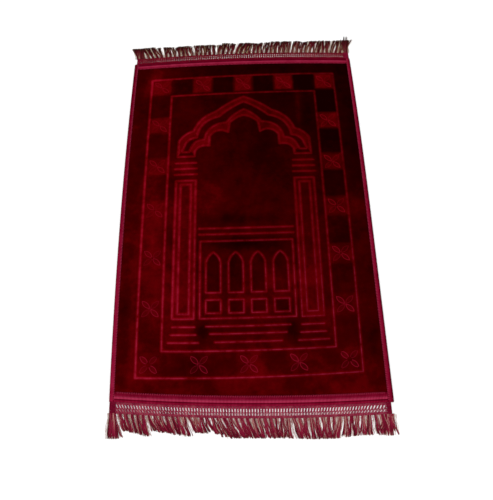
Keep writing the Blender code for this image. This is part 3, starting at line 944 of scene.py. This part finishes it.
def spin_yarns(bm, paths, radii, sides):
    """Draws a round yarn along each path, all of them together and one ring at a time.

    paths is yarns x points x 3 and radii is yarns x points. Each vertex keeps its yarn's number and its
    share of the way along it.
    """
    number = kept_layer(bm.faces.layers.int, "yarn")
    yarn_layer = kept_layer(bm.verts.layers.float, "yarn_number")
    share_layer = kept_layer(bm.verts.layers.float, "yarn_share")
    forward = np.gradient(paths, axis=1)
    forward /= np.linalg.norm(forward, axis=2, keepdims=True)
    sideways = np.cross(forward, (0, 0, 1))
    sideways /= np.linalg.norm(sideways, axis=2, keepdims=True)
    upwards = np.cross(sideways, forward)
    angles = 2 * np.pi * np.arange(sides) / sides
    cosines, sines = np.cos(angles)[:, None], np.sin(angles)[:, None]
    round_about = cosines * sideways[:, :, None] + sines * upwards[:, :, None]
    rings = paths[:, :, None] + radii[:, :, None, None] * round_about
    circle = bmesh.ops.create_circle(bm, cap_ends=True, segments=sides, radius=1)["verts"]
    faces = [circle[0].link_faces[0]]
    while len(faces) < len(paths):
        copied = bmesh.ops.duplicate(bm, geom=faces[: len(paths) - len(faces)])["geom"]
        faces += [part for part in copied if isinstance(part, bmesh.types.BMFace)]
    for yarn, face in enumerate(faces):
        face[number] = yarn
    last = paths.shape[1] - 1
    for step in range(last + 1):
        for face in faces:
            for vert, point in zip(face.verts, rings[face[number], step]):
                vert.co = point
                vert[yarn_layer] = face[number]
                vert[share_layer] = step / last
        if step < last:
            faces = bmesh.ops.extrude_discrete_faces(bm, faces=faces)["faces"]
    bmesh.ops.recalc_face_normals(bm, faces=bm.faces)


def make_thread():
    finish, node = new_finish("sewing_thread")
    place = node("ShaderNodeTexCoord", output=3)
    twist = node("ShaderNodeTexNoise", {}, {"Vector": place, "Scale": 1500.0})
    colour = mix_colour(node, twist, (0.24, 0.008, 0.035, 1), (0.42, 0.040, 0.090, 1))
    surface(node, {"Base Color": colour, "Roughness": 0.6, "Specular IOR Level": 0.05})
    return finish


# How light a side tape is painted across its width, as (in from the outer edge, tone): a painted highlight
# along its crown, and on the right one painted shade on its outer edge, away from the sun. The left one is
# darker towards the far end.
LEFT_PAINTED_LIGHT = ((0, 0.46), (0.0022, 0.54), (0.0045, 0.68), (0.0085, 0.70), (0.0105, 0.56), (SIDE_TAPE, 0.48))
RIGHT_PAINTED_LIGHT = ((0, 0.15), (0.0022, 0.23), (0.0045, 0.44), (0.0085, 0.56), (0.0105, 0.44), (SIDE_TAPE, 0.36))
LEFT_FADES, RIGHT_FADES = 0.58, 0.06

satin = make_satin("satin_tape", rib_pitch=0.0016, rib_share=0.25)
thread = make_thread()
sewn_on = []
for side, hand, worn, fades in (
    ("left", -1, LEFT_PAINTED_LIGHT, LEFT_FADES),
    ("right", 1, RIGHT_PAINTED_LIGHT, RIGHT_FADES),
):
    folded = roll_tape(side_section(), CLOTH_LENGTH / 2, SIDE_STATION, place_side(hand))
    tape = new_piece("tape_" + side, folded, satin)
    mark_painted_light(tape, worn, fades)
    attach(tape, "root")
    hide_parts("binding_" + side)

    def on_side_tape(along, across, lift):
        inwards = SIDE_TAPE - STITCH_IN_FROM_EDGE - across
        return place_side(hand)(inwards, SIDE_STITCH_HEIGHT + lift, along)

    seam = sew("stitches_" + side, CLOTH_LENGTH / 2, on_side_tape, thread)
    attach(seam, "root")
    sewn_on += [tape, seam]


# ---------------------------------------------------------------- end bindings
# A wider strip of the same tape is folded over each short edge, between the side tapes, and sewn down
# along its inner edge. A cord under it makes a roll, whipped over with close stitches, with a painted
# highlight on top.
# Outside the roll the tape lies flat and holds the edge of the braid.

# Its section: how far in the roll's middle lies, the roll's sizes, the flat part and the slope beside it.
NEAR_ROLL_IN, FAR_ROLL_IN = 0.0104, 0.0150
ROLL_RADIUS = 0.0034
ROLL_TOP = 0.0073
ROLL_FOOT = 0.0052
ROLL_CREASE = 0.0004
FLAT_TOP = 0.0048
SLOPE_INSET, SLOPE_LOW, SLOPE_HIGH = 0.003, 0.0053, 0.0055
END_EDGE_BEVEL = 0.0004
END_STITCH_HEIGHT = 0.0053
WHIP_PITCH = 0.0034
END_STATION = WHIP_PITCH / 3
WHIP_HEIGHT = 0.00030
END_HALF = CLOTH_WIDTH / 2 - SIDE_TAPE - GAP


def end_section(roll_in):
    """The section of an end tape: a gentle slope from the pile, the corded roll and a flat outer part."""
    rise, fall = roll_in + ROLL_RADIUS, roll_in - ROLL_RADIUS
    crease = (fall, FLAT_TOP - ROLL_CREASE)
    section = tape_underside(END_TAPE)
    section.append((END_TAPE - END_EDGE_BEVEL, TAPE_EDGE_TOP))
    section += [(END_TAPE - SLOPE_INSET, SLOPE_LOW), (rise + SLOPE_INSET, SLOPE_HIGH)]
    section += quarter_round((rise, ROLL_FOOT), (roll_in, ROLL_TOP), bow_first=False)
    section += quarter_round((roll_in, ROLL_TOP), crease, bow_first=True)
    section += [crease, (fall / 2, FLAT_TOP)]
    section += quarter_round((TAPE_WALL, FLAT_TOP), (0, OUTER_EDGE_HEIGHT), bow_first=True)
    section += quarter_round((0, OUTER_EDGE_HEIGHT), (TAPE_WALL, 0), bow_first=True)
    return section + [(TAPE_WALL, 0)]


def place_end(end, roll_in):
    """Where a point of an end tape goes: end is -1 at the near end and 1 at the far one."""

    def place(inwards, height, along):
        on_roll = max(0.0, 1 - ((inwards - roll_in) / ROLL_RADIUS) ** 2) * (height > RIM_TOP + GAP)
        whipped = WHIP_HEIGHT * on_roll * math.cos(2 * math.pi * along / WHIP_PITCH)
        x, y = lie(along, end * (CLOTH_LENGTH / 2 - inwards))
        return x, y, height + whipped

    return place


def end_painted_light(roll_in, outer_tone, roll_highlight):
    """An end tape's tone across its width: a painted highlight on the roll and painted shadow in the crease
    beside it.
    """
    return (
        (0, outer_tone),
        (roll_in - 0.0062, outer_tone),
        (roll_in - 0.0052, 0.20),
        (roll_in - 0.0034, 0.16),
        (roll_in - 0.0024, roll_highlight),
        (roll_in + 0.0026, roll_highlight),
        (roll_in + 0.0040, 0.60),
        (roll_in + 0.0075, 0.38),
        (END_TAPE, 0.30),
    )


whipped_satin = make_satin("whipped_satin_tape", rib_pitch=WHIP_PITCH, rib_share=0.8)
# For each end: the tone of the tape's outer part, darker at the far end, and the painted highlight on the
# roll's top.
for side, end, roll_in, outer_tone, roll_highlight in (
    ("near", -1, NEAR_ROLL_IN, 0.54, 0.86),
    ("far", 1, FAR_ROLL_IN, 0.28, 0.69),
):
    folded = roll_tape(end_section(roll_in), END_HALF, END_STATION, place_end(end, roll_in))
    tape = new_piece("tape_" + side, folded, whipped_satin)
    mark_painted_light(tape, end_painted_light(roll_in, outer_tone, roll_highlight))
    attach(tape, "root")
    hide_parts("binding_" + side)

    def on_end_tape(along, across, lift):
        inwards = END_TAPE - STITCH_IN_FROM_EDGE - across
        return place_end(end, roll_in)(inwards, END_STITCH_HEIGHT + lift, along)

    seam = sew("stitches_" + side, END_HALF, on_end_tape, thread)
    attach(seam, "root")
    sewn_on += [tape, seam]


# ---------------------------------------------------------------- braids
# A bought ladder braid is sewn under each end tape. Between its knitted rows, upright yarns in pairs leave
# a row of wide openings and a row of narrow ones. Its cut ends are folded under and sewn over.
BRAID_DEPTH = 0.0285
LOCK_PITCH = 0.0143
LOCKS = 48
LADDER_PITCH = LOCK_PITCH / 2
TURNED_END = 0.0092
BRAID_HALF = LOCKS * LOCK_PITCH / 2
BRAID_INSIDE = BRAID_HALF - TURNED_END
BRAID_MIDDLE_HEIGHT = 0.0014

# The knitted rows by their distance out from the cloth's edge, and the two rows of openings between them.
# The far braid is worked closer, with more rows in its heading and thicker uprights.
NEAR_HEADING_ROWS, FAR_HEADING_ROWS = (0.0008, 0.0024, 0.0040), (0.0008, 0.0024, 0.0040, 0.0056)
MIDDLE_ROW = 0.0141
HEADER_ROWS = (0.0219, 0.0236, 0.0253)
WIDE_OPENINGS_END = 0.0134
NARROW_OPENINGS = (0.0148, 0.0210)
ROW_TO_EDGE = 0.0008

# The upright yarns stand in pairs, each this far from its pair's middle. They run past the openings by a
# share of their length, and the outermost lean the most.
WIDE_PAIR_APART, NARROW_PAIR_APART = 0.0012, 0.0015
NEAR_UPRIGHT_RADIUS, FAR_UPRIGHT_RADIUS = 0.00112, 0.00125
UPRIGHT_POINTS = 5
UPRIGHT_OVERLAP = 0.12
UPRIGHT_SUNK, UPRIGHT_ARCHED = 0.0002, 0.0003
LEAN = 0.0045

# A thin ribbon lies under the knitted rows and a little past them.
BACKING = 0.0006
BACKING_PAST_ROW = 0.0006

# A knitted row is a chain of V stitches. One leg of a V, from its open top to its foot, is
# (along the row in pitches, out from its middle in half widths, height).
KNIT_LEG = ((-0.55, 1.0, -0.0001), (0.0, 0.75, 0.0005), (0.45, 0.1, 0.0001))
KNIT_PITCH = 0.0025
KNIT_HALF = 0.0010
KNIT_RADIUS = 0.00062
MIDDLE_ROW_THINNER = 0.70

# The near braid lies stretched and the far one drawn together.
NEAR_STRETCH, FAR_STRETCH = 1.07, 0.91

# The sewn-over ends are thicker than the braid, and stick out past its left and right ends by this much.
NEAR_TURNED_PAST_END, FAR_TURNED_PAST_END = (0.0055, 0.0005), (0.0005, 0.0055)
TURNED_ROW_PITCH = 0.0021
TURNED_LIFT = 0.0010
TURNED_OVERLAP = 0.001
TURNED_THICKER = 1.25
TURNED_BACKING_FROM = 0.0004

# Yarns next to each other share a shade.
YARNS_IN_PLY = 4


def place_braid(end, x, out, height):
    """Where points of a braid go: out is the distance from the flat cut's edge, before it is stretched."""
    stretch = NEAR_STRETCH if end < 0 else FAR_STRETCH
    y = end * (CLOTH_LENGTH / 2 + stretch * np.asarray(out, float))
    lain_x, lain_y = lie(np.asarray(x, float), y)
    return np.stack(np.broadcast_arrays(lain_x, lain_y, height), axis=-1)


def knit_row(end, out, start, stop, lift=0.0):
    """The legs of one knitted row of V stitches."""
    count = round((stop - start) / KNIT_PITCH)
    middles = start + (np.arange(count) + 0.5) * KNIT_PITCH
    leg_x, leg_out, leg_height = np.array(KNIT_LEG).T
    x = middles[:, None] + KNIT_PITCH * leg_x
    height = BRAID_MIDDLE_HEIGHT + lift + leg_height
    legs = [place_braid(end, x, out + hand * KNIT_HALF * leg_out, height) for hand in (-1, 1)]
    return np.concatenate(legs)


def uprights(end, apart, openings, radius):
    """Pairs of upright yarns across a row of openings, leaning to the rug's middle, most at the ends."""
    rungs = np.arange(-BRAID_INSIDE, BRAID_INSIDE + LADDER_PITCH / 2, LADDER_PITCH)
    shares = np.linspace(-UPRIGHT_OVERLAP, 1 + UPRIGHT_OVERLAP, UPRIGHT_POINTS)
    lean = -LEAN * (rungs / BRAID_HALF)[:, None] * (shares - 0.5)
    out = openings[0] + (openings[1] - openings[0]) * shares
    height = BRAID_MIDDLE_HEIGHT - UPRIGHT_SUNK + UPRIGHT_ARCHED * np.sin(np.pi * shares)
    paths = [place_braid(end, rungs[:, None] + side * apart + lean, out, height) for side in (-1, 1)]
    return np.concatenate(paths), np.full((2 * len(rungs), UPRIGHT_POINTS), radius)


def add_backing(bm, end, rectangles):
    """Thin ribbons that the knitted rows are worked on, each (start, stop, nearest, furthest)."""
    for start, stop, nearest, furthest in rectangles:
        grid = bmesh.ops.create_grid(bm, x_segments=LOCKS, y_segments=1, size=1)["verts"]
        for vert in grid:
            x = start + (stop - start) * (vert.co.x + 1) / 2
            out = nearest if vert.co.y < 0 else furthest
            vert.co = place_braid(end, x, out, BRAID_MIDDLE_HEIGHT - BACKING / 2)
        faces = list({f for v in grid for f in v.link_faces})
        edges = list({e for f in faces for e in f.edges})
        drawn = bmesh.ops.extrude_face_region(bm, geom=faces + edges)["geom"]
        new_verts = [part for part in drawn if isinstance(part, bmesh.types.BMVert)]
        bmesh.ops.translate(bm, verts=new_verts, vec=(0, 0, -BACKING))


def braid_mesh(end):
    """One braid: its knitted rows, its two rows of uprights and its backing."""
    heading = NEAR_HEADING_ROWS if end < 0 else FAR_HEADING_ROWS
    radius = NEAR_UPRIGHT_RADIUS if end < 0 else FAR_UPRIGHT_RADIUS
    wide_openings = (heading[-1] + ROW_TO_EDGE, WIDE_OPENINGS_END)
    bm = bmesh.new()
    rows = [(out, 1.0) for out in (*heading, *HEADER_ROWS)] + [(MIDDLE_ROW, MIDDLE_ROW_THINNER)]
    for out, thinner in rows:
        knitted = knit_row(end, out, -BRAID_INSIDE, BRAID_INSIDE)
        spin_yarns(bm, knitted, np.full(knitted.shape[:2], KNIT_RADIUS * thinner), sides=4)
    spin_yarns(bm, *uprights(end, WIDE_PAIR_APART, wide_openings, radius), sides=6)
    spin_yarns(bm, *uprights(end, NARROW_PAIR_APART, NARROW_OPENINGS, radius), sides=6)
    ribbons = (
        (heading[0] - BACKING_PAST_ROW, heading[-1] + BACKING_PAST_ROW),
        (HEADER_ROWS[0] - BACKING_PAST_ROW, HEADER_ROWS[-1] + ROW_TO_EDGE),
    )
    add_backing(bm, end, [(-BRAID_INSIDE, BRAID_INSIDE, *ribbon) for ribbon in ribbons])
    return bm


def turned_ends_mesh(end):
    """The two folded ends of a braid, sewn over in close rows."""
    bm = bmesh.new()
    rows = np.arange(NEAR_HEADING_ROWS[0], BRAID_DEPTH, TURNED_ROW_PITCH)
    past_left, past_right = NEAR_TURNED_PAST_END if end < 0 else FAR_TURNED_PAST_END
    spans = (
        (-BRAID_HALF - past_left, -BRAID_INSIDE + TURNED_OVERLAP),
        (BRAID_INSIDE - TURNED_OVERLAP, BRAID_HALF + past_right),
    )
    knitted = np.concatenate([knit_row(end, out, *span, TURNED_LIFT) for out in rows for span in spans])
    spin_yarns(bm, knitted, np.full(knitted.shape[:2], KNIT_RADIUS * TURNED_THICKER), sides=5)
    add_backing(bm, end, [(*span, TURNED_BACKING_FROM, BRAID_DEPTH) for span in spans])
    return bm


def make_yarn(name, stops, tip=0.0):
    """Soft yarn: neighbours share a shade that each varies a little. Tip is how much its end darkens."""
    finish, node = new_finish(name)
    number = attribute(node, "yarn_number")
    ply = number.math("FLOOR", number * (1 / YARNS_IN_PLY))
    ply_shade = node("ShaderNodeTexWhiteNoise", {"noise_dimensions": "1D"}, {"W": ply})
    own_shade = node("ShaderNodeTexWhiteNoise", {"noise_dimensions": "1D"}, {"W": number})
    place = node("ShaderNodeTexCoord", output=3)
    fibre = node("ShaderNodeTexNoise", {}, {"Vector": place, "Scale": 1100.0, "Detail": 2.0})
    share = attribute(node, "yarn_share")
    tone = ply_shade * 0.44 + own_shade * 0.40 + fibre * 0.16 - share * share * tip
    colour = node("ShaderNodeValToRGB", {"stops": stops}, {"Fac": tone})
    bump = node("ShaderNodeBump", {}, {"Height": fibre, "Strength": 0.6, "Distance": 0.0004})
    surface(node, {
        "Base Color": colour,
        "Roughness": 0.85,
        "Specular IOR Level": 0.03,
        "Sheen Weight": 0.04,
        "Sheen Tint": (1.0, 0.2, 0.3, 1),
        "Normal": bump,
    })
    return finish


NEAR_BRAID_STOPS = (
    (0.0, (0.130, 0.0060, 0.0220)),
    (0.5, (0.270, 0.0220, 0.0550)),
    (1.0, (0.430, 0.1000, 0.1250)),
)
# The far braid is painted darker than the near one: painted shade for the light falling off towards the far
# end.
FAR_BRAID_STOPS = (
    (0.0, (0.060, 0.0010, 0.0040)),
    (0.5, (0.140, 0.0040, 0.0130)),
    (1.0, (0.240, 0.0300, 0.0450)),
)
TURNED_STOPS = (
    (0.0, (0.070, 0.0010, 0.0080)),
    (0.5, (0.150, 0.0020, 0.0180)),
    (1.0, (0.250, 0.0100, 0.0400)),
)
turned_finish = make_yarn("turned_end_yarn", TURNED_STOPS)
for side, end, stops in (("near", -1, NEAR_BRAID_STOPS), ("far", 1, FAR_BRAID_STOPS)):
    for name, mesh, finish in (
        ("braid_" + side, braid_mesh(end), make_yarn("braid_yarn_" + side, stops)),
        ("turned_ends_" + side, turned_ends_mesh(end), turned_finish),
    ):
        piece = new_piece(name, mesh, finish)
        piece.data.shade_smooth()
        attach(piece, "root")
        sewn_on.append(piece)


# ---------------------------------------------------------------- locks
# Each lock is a bundle of loose yarns that leaves the braid's outer edge. Walking and brushing have swept
# the locks together into tufts of a few, with gaps between them.
YARNS_IN_LOCK = 25
LOCK_ROOT_HALF = 0.0037
LOCK_ROOT_OUT = 0.0262
YARN_RADIUS = 0.00052
YARN_STEPS = 11

# Yarns leave the braid in a stack, and sink to this share of their height at the tip.
STACK_HEIGHTS = (0.0008, 0.0016, 0.0024, 0.0031)
TIP_HEIGHT, TIP_DROOP = 0.3, 1.4

# How far plies and yarns spread at the tip, and how much shorter they can be. Few plies are much shorter.
PLY_SPREAD, YARN_SPREAD = 0.0036, 0.0012
PLY_FRAYED, YARN_FRAYED = 0.0042, 0.0018
FEW_FRAYED_FAR = 1.5

# How far locks and yarns sway on their way, and through how many radians. A power over 1 lets a lock leave
# the braid straight before it turns to its tip.
LOCK_SWAY, YARN_SWAY = 0.0010, 0.0007
SWAY_RADIANS = (3, 9)
LOCK_BEND = 1.2

# A yarn's thickness along it, as (share of its length, times its radius), and how much yarns differ.
YARN_PROFILE = ((0, 1), (0.5, 1.15), (0.9, 1.3), (1, 0.7))
THINNEST_YARN, THICKEST_YARN = 0.8, 1.2

# Loose fibres, paler than the yarns, that have worked free: long ones over the gaps of the locks, and a
# haze of short ones over the ladder and the roots of the locks. Their pale pinkish cream is partly the
# fibres' own and partly painted shade and bounced red light for the floor in those gaps.
STRAYS, LADDER_STRAYS = 1100, 650
STRAY_RADIUS = 0.00030

# A long one starts beside its yarn, draws back a share of that way, wanders and curls, and lies lower.
STRAY_OFF, STRAY_DRAWN_BACK = 0.0075, 0.4
STRAY_WANDER = 0.0030
STRAY_CURL, STRAY_CURL_RADIANS = 0.0012, (4, 12)
STRAY_HEIGHT_SHARE = 0.4

# A short one lies between these distances out from the cloth's edge, bent a little.
HAZE_SPANS = ((0.0050, 0.0205), (0.0290, 0.0380))
HAZE_HEIGHT = 0.0004
HAZE_POINTS = 4
HAZE_BEND = 0.7
HAZE_FIBRE_LONG, HAZE_FIBRE_VARIES = 0.0070, (0.5, 1.2)

# How the locks of each fringe lie, from the left corner to the right one. A row is one tuft:
# (locks gathered in it, where its tips start, where they end, how far out its first and last tips reach).
NEAR_TUFTS = (
    (1, -0.3430, -0.3100, 0.6225, 0.6285),
    (5, -0.3060, -0.2430, 0.6105, 0.6220),
    (7, -0.2370, -0.1410, 0.6125, 0.6245),
    (3, -0.1360, -0.1030, 0.6165, 0.6185),
    (3, -0.0975, -0.0485, 0.6150, 0.6290),
    (12, -0.0435, 0.1010, 0.6310, 0.6340),
    (3, 0.1135, 0.1430, 0.6355, 0.6360),
    (6, 0.1520, 0.2160, 0.6365, 0.6365),
    (4, 0.2265, 0.2730, 0.6335, 0.6305),
    (1, 0.2820, 0.2960, 0.6305, 0.6300),
    (3, 0.3000, 0.3500, 0.6300, 0.6320),
)
FAR_TUFTS = (
    (3, -0.3515, -0.3180, 0.6075, 0.6095),
    (1, -0.3160, -0.3090, 0.6115, 0.6110),
    (1, -0.2990, -0.2900, 0.6145, 0.6130),
    (1, -0.2850, -0.2645, 0.6120, 0.6105),
    (3, -0.2600, -0.2210, 0.6140, 0.6130),
    (4, -0.2165, -0.1665, 0.6155, 0.6175),
    (5, -0.1560, -0.0875, 0.6200, 0.6215),
    (1, -0.0780, -0.0670, 0.6215, 0.6160),
    (2, -0.0615, -0.0370, 0.6280, 0.6275),
    (1, -0.0325, -0.0195, 0.6240, 0.6220),
    (3, -0.0055, 0.0235, 0.6270, 0.6285),
    (2, 0.0250, 0.0465, 0.6265, 0.6260),
    (3, 0.0495, 0.0905, 0.6260, 0.6290),
    (5, 0.0935, 0.1620, 0.6325, 0.6330),
    (2, 0.1700, 0.1895, 0.6325, 0.6325),
    (1, 0.1920, 0.2060, 0.6295, 0.6290),
    (2, 0.2100, 0.2360, 0.6320, 0.6315),
    (4, 0.2415, 0.2855, 0.6325, 0.6320),
    (2, 0.2965, 0.3265, 0.6320, 0.6315),
    (1, 0.3280, 0.3385, 0.6345, 0.6385),
    (1, 0.3390, 0.3530, 0.6345, 0.6290),
)

# The thick tufts off the braids' folded ends:
# (root x, half the root's width, where the tips start, where they end, how far they reach, yarns).
NEAR_CORNERS = (
    (-0.3420, 0.0065, -0.343, -0.312, 0.6265, 56),
    (0.3370, 0.0095, 0.314, 0.349, 0.6230, 120),
)
FAR_CORNERS = (
    (-0.3360, 0.0100, -0.355, -0.319, 0.6090, 110),
    (0.3410, 0.0065, 0.322, 0.350, 0.6320, 70),
    (0.3390, 0.0015, 0.3340, 0.3370, 0.6490, 8),
)


def fringe_bundles(tufts, corners):
    """Each bundle of a fringe as (root x, half the root's width, tips' start, tips' end, reach, yarns)."""
    roots = ((i + 0.5) * LOCK_PITCH - BRAID_HALF for i in range(LOCKS))
    bundles = []
    for locks, start, stop, first_reach, last_reach in tufts:
        edges = np.linspace(start, stop, locks + 1)
        reaches = np.linspace(first_reach, last_reach, locks)
        for tip_start, tip_stop, reach in zip(edges, edges[1:], reaches):
            bundles.append((next(roots), LOCK_ROOT_HALF, tip_start, tip_stop, reach, YARNS_IN_LOCK))
    return np.array([*bundles, *corners])


def fringe_yarns(end, bundles, chance):
    """The path and thickness of every loose yarn of one fringe."""
    counts = bundles[:, 5].astype(int)
    bundle = np.repeat(np.arange(len(counts)), counts)
    root_x, root_half, tip_start, tip_stop, reach, _ = bundles[bundle].T
    yarns = len(bundle)
    ply = np.arange(yarns) // YARNS_IN_PLY
    share_across = np.concatenate([np.linspace(0, 1, count) for count in counts])
    height = chance.choice(STACK_HEIGHTS, yarns)
    start = place_braid(end, root_x + root_half * (2 * share_across - 1), LOCK_ROOT_OUT, height)
    spread = chance.normal(0, PLY_SPREAD, yarns)[ply] + chance.normal(0, YARN_SPREAD, yarns)
    frayed = PLY_FRAYED * chance.random(yarns)[ply] ** FEW_FRAYED_FAR + YARN_FRAYED * chance.random(yarns)
    stop_x = tip_start + (tip_stop - tip_start) * share_across + spread
    stop_y = end * (reach - frayed)
    shares = np.linspace(0, 1, YARN_STEPS)
    x = start[:, :1] + (stop_x - start[:, 0])[:, None] * shares**LOCK_BEND
    y = start[:, 1:2] + (stop_y - start[:, 1])[:, None] * shares
    for sway, group in ((LOCK_SWAY, bundle), (YARN_SWAY, np.arange(yarns))):
        phase = chance.uniform(0, 2 * np.pi, yarns)[group][:, None]
        swing = chance.uniform(*SWAY_RADIANS, yarns)[group][:, None]
        x = x + sway * (np.sin(phase + swing * shares) - np.sin(phase)) * np.sqrt(shares)
    radius = YARN_RADIUS * np.interp(shares, *zip(*YARN_PROFILE))
    radius = radius * chance.uniform(THINNEST_YARN, THICKEST_YARN, (yarns, 1))
    sinking = TIP_HEIGHT + (1 - TIP_HEIGHT) * (1 - shares) ** TIP_DROOP
    z = np.maximum(radius, height[:, None] * sinking)
    return np.stack((x, y, z), axis=-1), radius


def stray_fibres(paths, chance):
    """Single fibres that run beside a yarn, off to one side and wandering, and so fill the gaps, where they
    also stand in for the floor's painted shade.
    """
    strays = paths[chance.integers(0, len(paths), STRAYS)][:, ::2]
    shares = np.linspace(0, 1, strays.shape[1])
    off = chance.uniform(-STRAY_OFF, STRAY_OFF, (STRAYS, 1)) * (1 - STRAY_DRAWN_BACK * shares)
    wander = chance.normal(0, STRAY_WANDER, (STRAYS, 1)) * shares
    curl = STRAY_CURL * np.sin(chance.uniform(*STRAY_CURL_RADIANS, (STRAYS, 1)) * shares)
    strays[:, :, 0] += off + wander + curl
    strays[:, :, 2] = STRAY_RADIUS + STRAY_HEIGHT_SHARE * strays[:, :, 2]
    return strays


def ladder_strays(end, chance):
    """The haze of short loose fibres over a braid's openings and the roots of its locks."""
    each = (LADDER_STRAYS, 1)
    x = chance.uniform(-BRAID_INSIDE, BRAID_INSIDE, each)
    spans = np.array(HAZE_SPANS)[chance.integers(0, len(HAZE_SPANS), LADDER_STRAYS)]
    nearest, furthest = spans.T[:, :, None]
    out = nearest + (furthest - nearest) * chance.random(each)
    shares = np.linspace(-1, 1, HAZE_POINTS)
    turn = chance.uniform(0, np.pi, each) + chance.normal(0, HAZE_BEND, each) * shares
    half = HAZE_FIBRE_LONG / 2 * chance.uniform(*HAZE_FIBRE_VARIES, each) * shares
    out = np.clip(out + half * np.sin(turn), nearest, furthest)
    return place_braid(end, x + half * np.cos(turn), out, BRAID_MIDDLE_HEIGHT + HAZE_HEIGHT)


NEAR_LOCK_STOPS = (
    (0.00, (0.0400, 0.0040, 0.0060)),
    (0.30, (0.1350, 0.0040, 0.0160)),
    (0.56, (0.2400, 0.0080, 0.0380)),
    (0.66, (0.3000, 0.0450, 0.0620)),
    (0.74, (0.4000, 0.2300, 0.1900)),
    (1.00, (0.5600, 0.4200, 0.3300)),
)
# The far locks, and the strays below, are painted darker than the near ones: painted shade for the light
# falling off towards the far end.
FAR_LOCK_STOPS = (
    (0.00, (0.0140, 0.0040, 0.0020)),
    (0.30, (0.0450, 0.0020, 0.0035)),
    (0.56, (0.1150, 0.0050, 0.0140)),
    (0.66, (0.1500, 0.0350, 0.0280)),
    (0.76, (0.2900, 0.1900, 0.1200)),
    (1.00, (0.4500, 0.3600, 0.2500)),
)
# The strays' and haze's pale colours partly stand in for painted shade and bounced red light on the floor
# in the gaps.
NEAR_STRAY_STOPS = ((0.0, (0.22, 0.05, 0.06)), (0.5, (0.42, 0.25, 0.19)), (1.0, (0.60, 0.45, 0.34)))
FAR_STRAY_STOPS = ((0.0, (0.14, 0.05, 0.03)), (0.5, (0.32, 0.23, 0.11)), (1.0, (0.50, 0.42, 0.22)))
HAZE_STOPS = ((0.0, (0.20, 0.02, 0.04)), (0.5, (0.42, 0.15, 0.15)), (1.0, (0.62, 0.40, 0.36)))
for side, end, tufts, corners, lock_stops, tip, stray_stops, seed in (
    ("near", -1, NEAR_TUFTS, NEAR_CORNERS, NEAR_LOCK_STOPS, 0.30, NEAR_STRAY_STOPS, 11),
    ("far", 1, FAR_TUFTS, FAR_CORNERS, FAR_LOCK_STOPS, 0.50, FAR_STRAY_STOPS, 12),
):
    chance = np.random.default_rng(seed)
    yarn_paths, yarn_radii = fringe_yarns(end, fringe_bundles(tufts, corners), chance)
    lock_mesh, stray_mesh, haze_mesh = bmesh.new(), bmesh.new(), bmesh.new()
    spin_yarns(lock_mesh, yarn_paths, yarn_radii, sides=5)
    for loose, mesh in (
        (stray_fibres(yarn_paths, chance), stray_mesh),
        (ladder_strays(end, chance), haze_mesh),
    ):
        spin_yarns(mesh, loose, np.full(loose.shape[:2], STRAY_RADIUS), sides=3)
    locks = new_piece("locks_" + side, lock_mesh, make_yarn("lock_yarn_" + side, lock_stops, tip=tip))
    strays = new_piece("strays_" + side, stray_mesh, make_yarn("stray_fibre_" + side, stray_stops))
    haze = new_piece("ladder_haze_" + side, haze_mesh, make_yarn("ladder_haze_" + side, HAZE_STOPS))
    for piece in (locks, strays, haze):
        piece.data.shade_smooth()
        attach(piece, "root")
        sewn_on.append(piece)
    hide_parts("fringe_" + side)
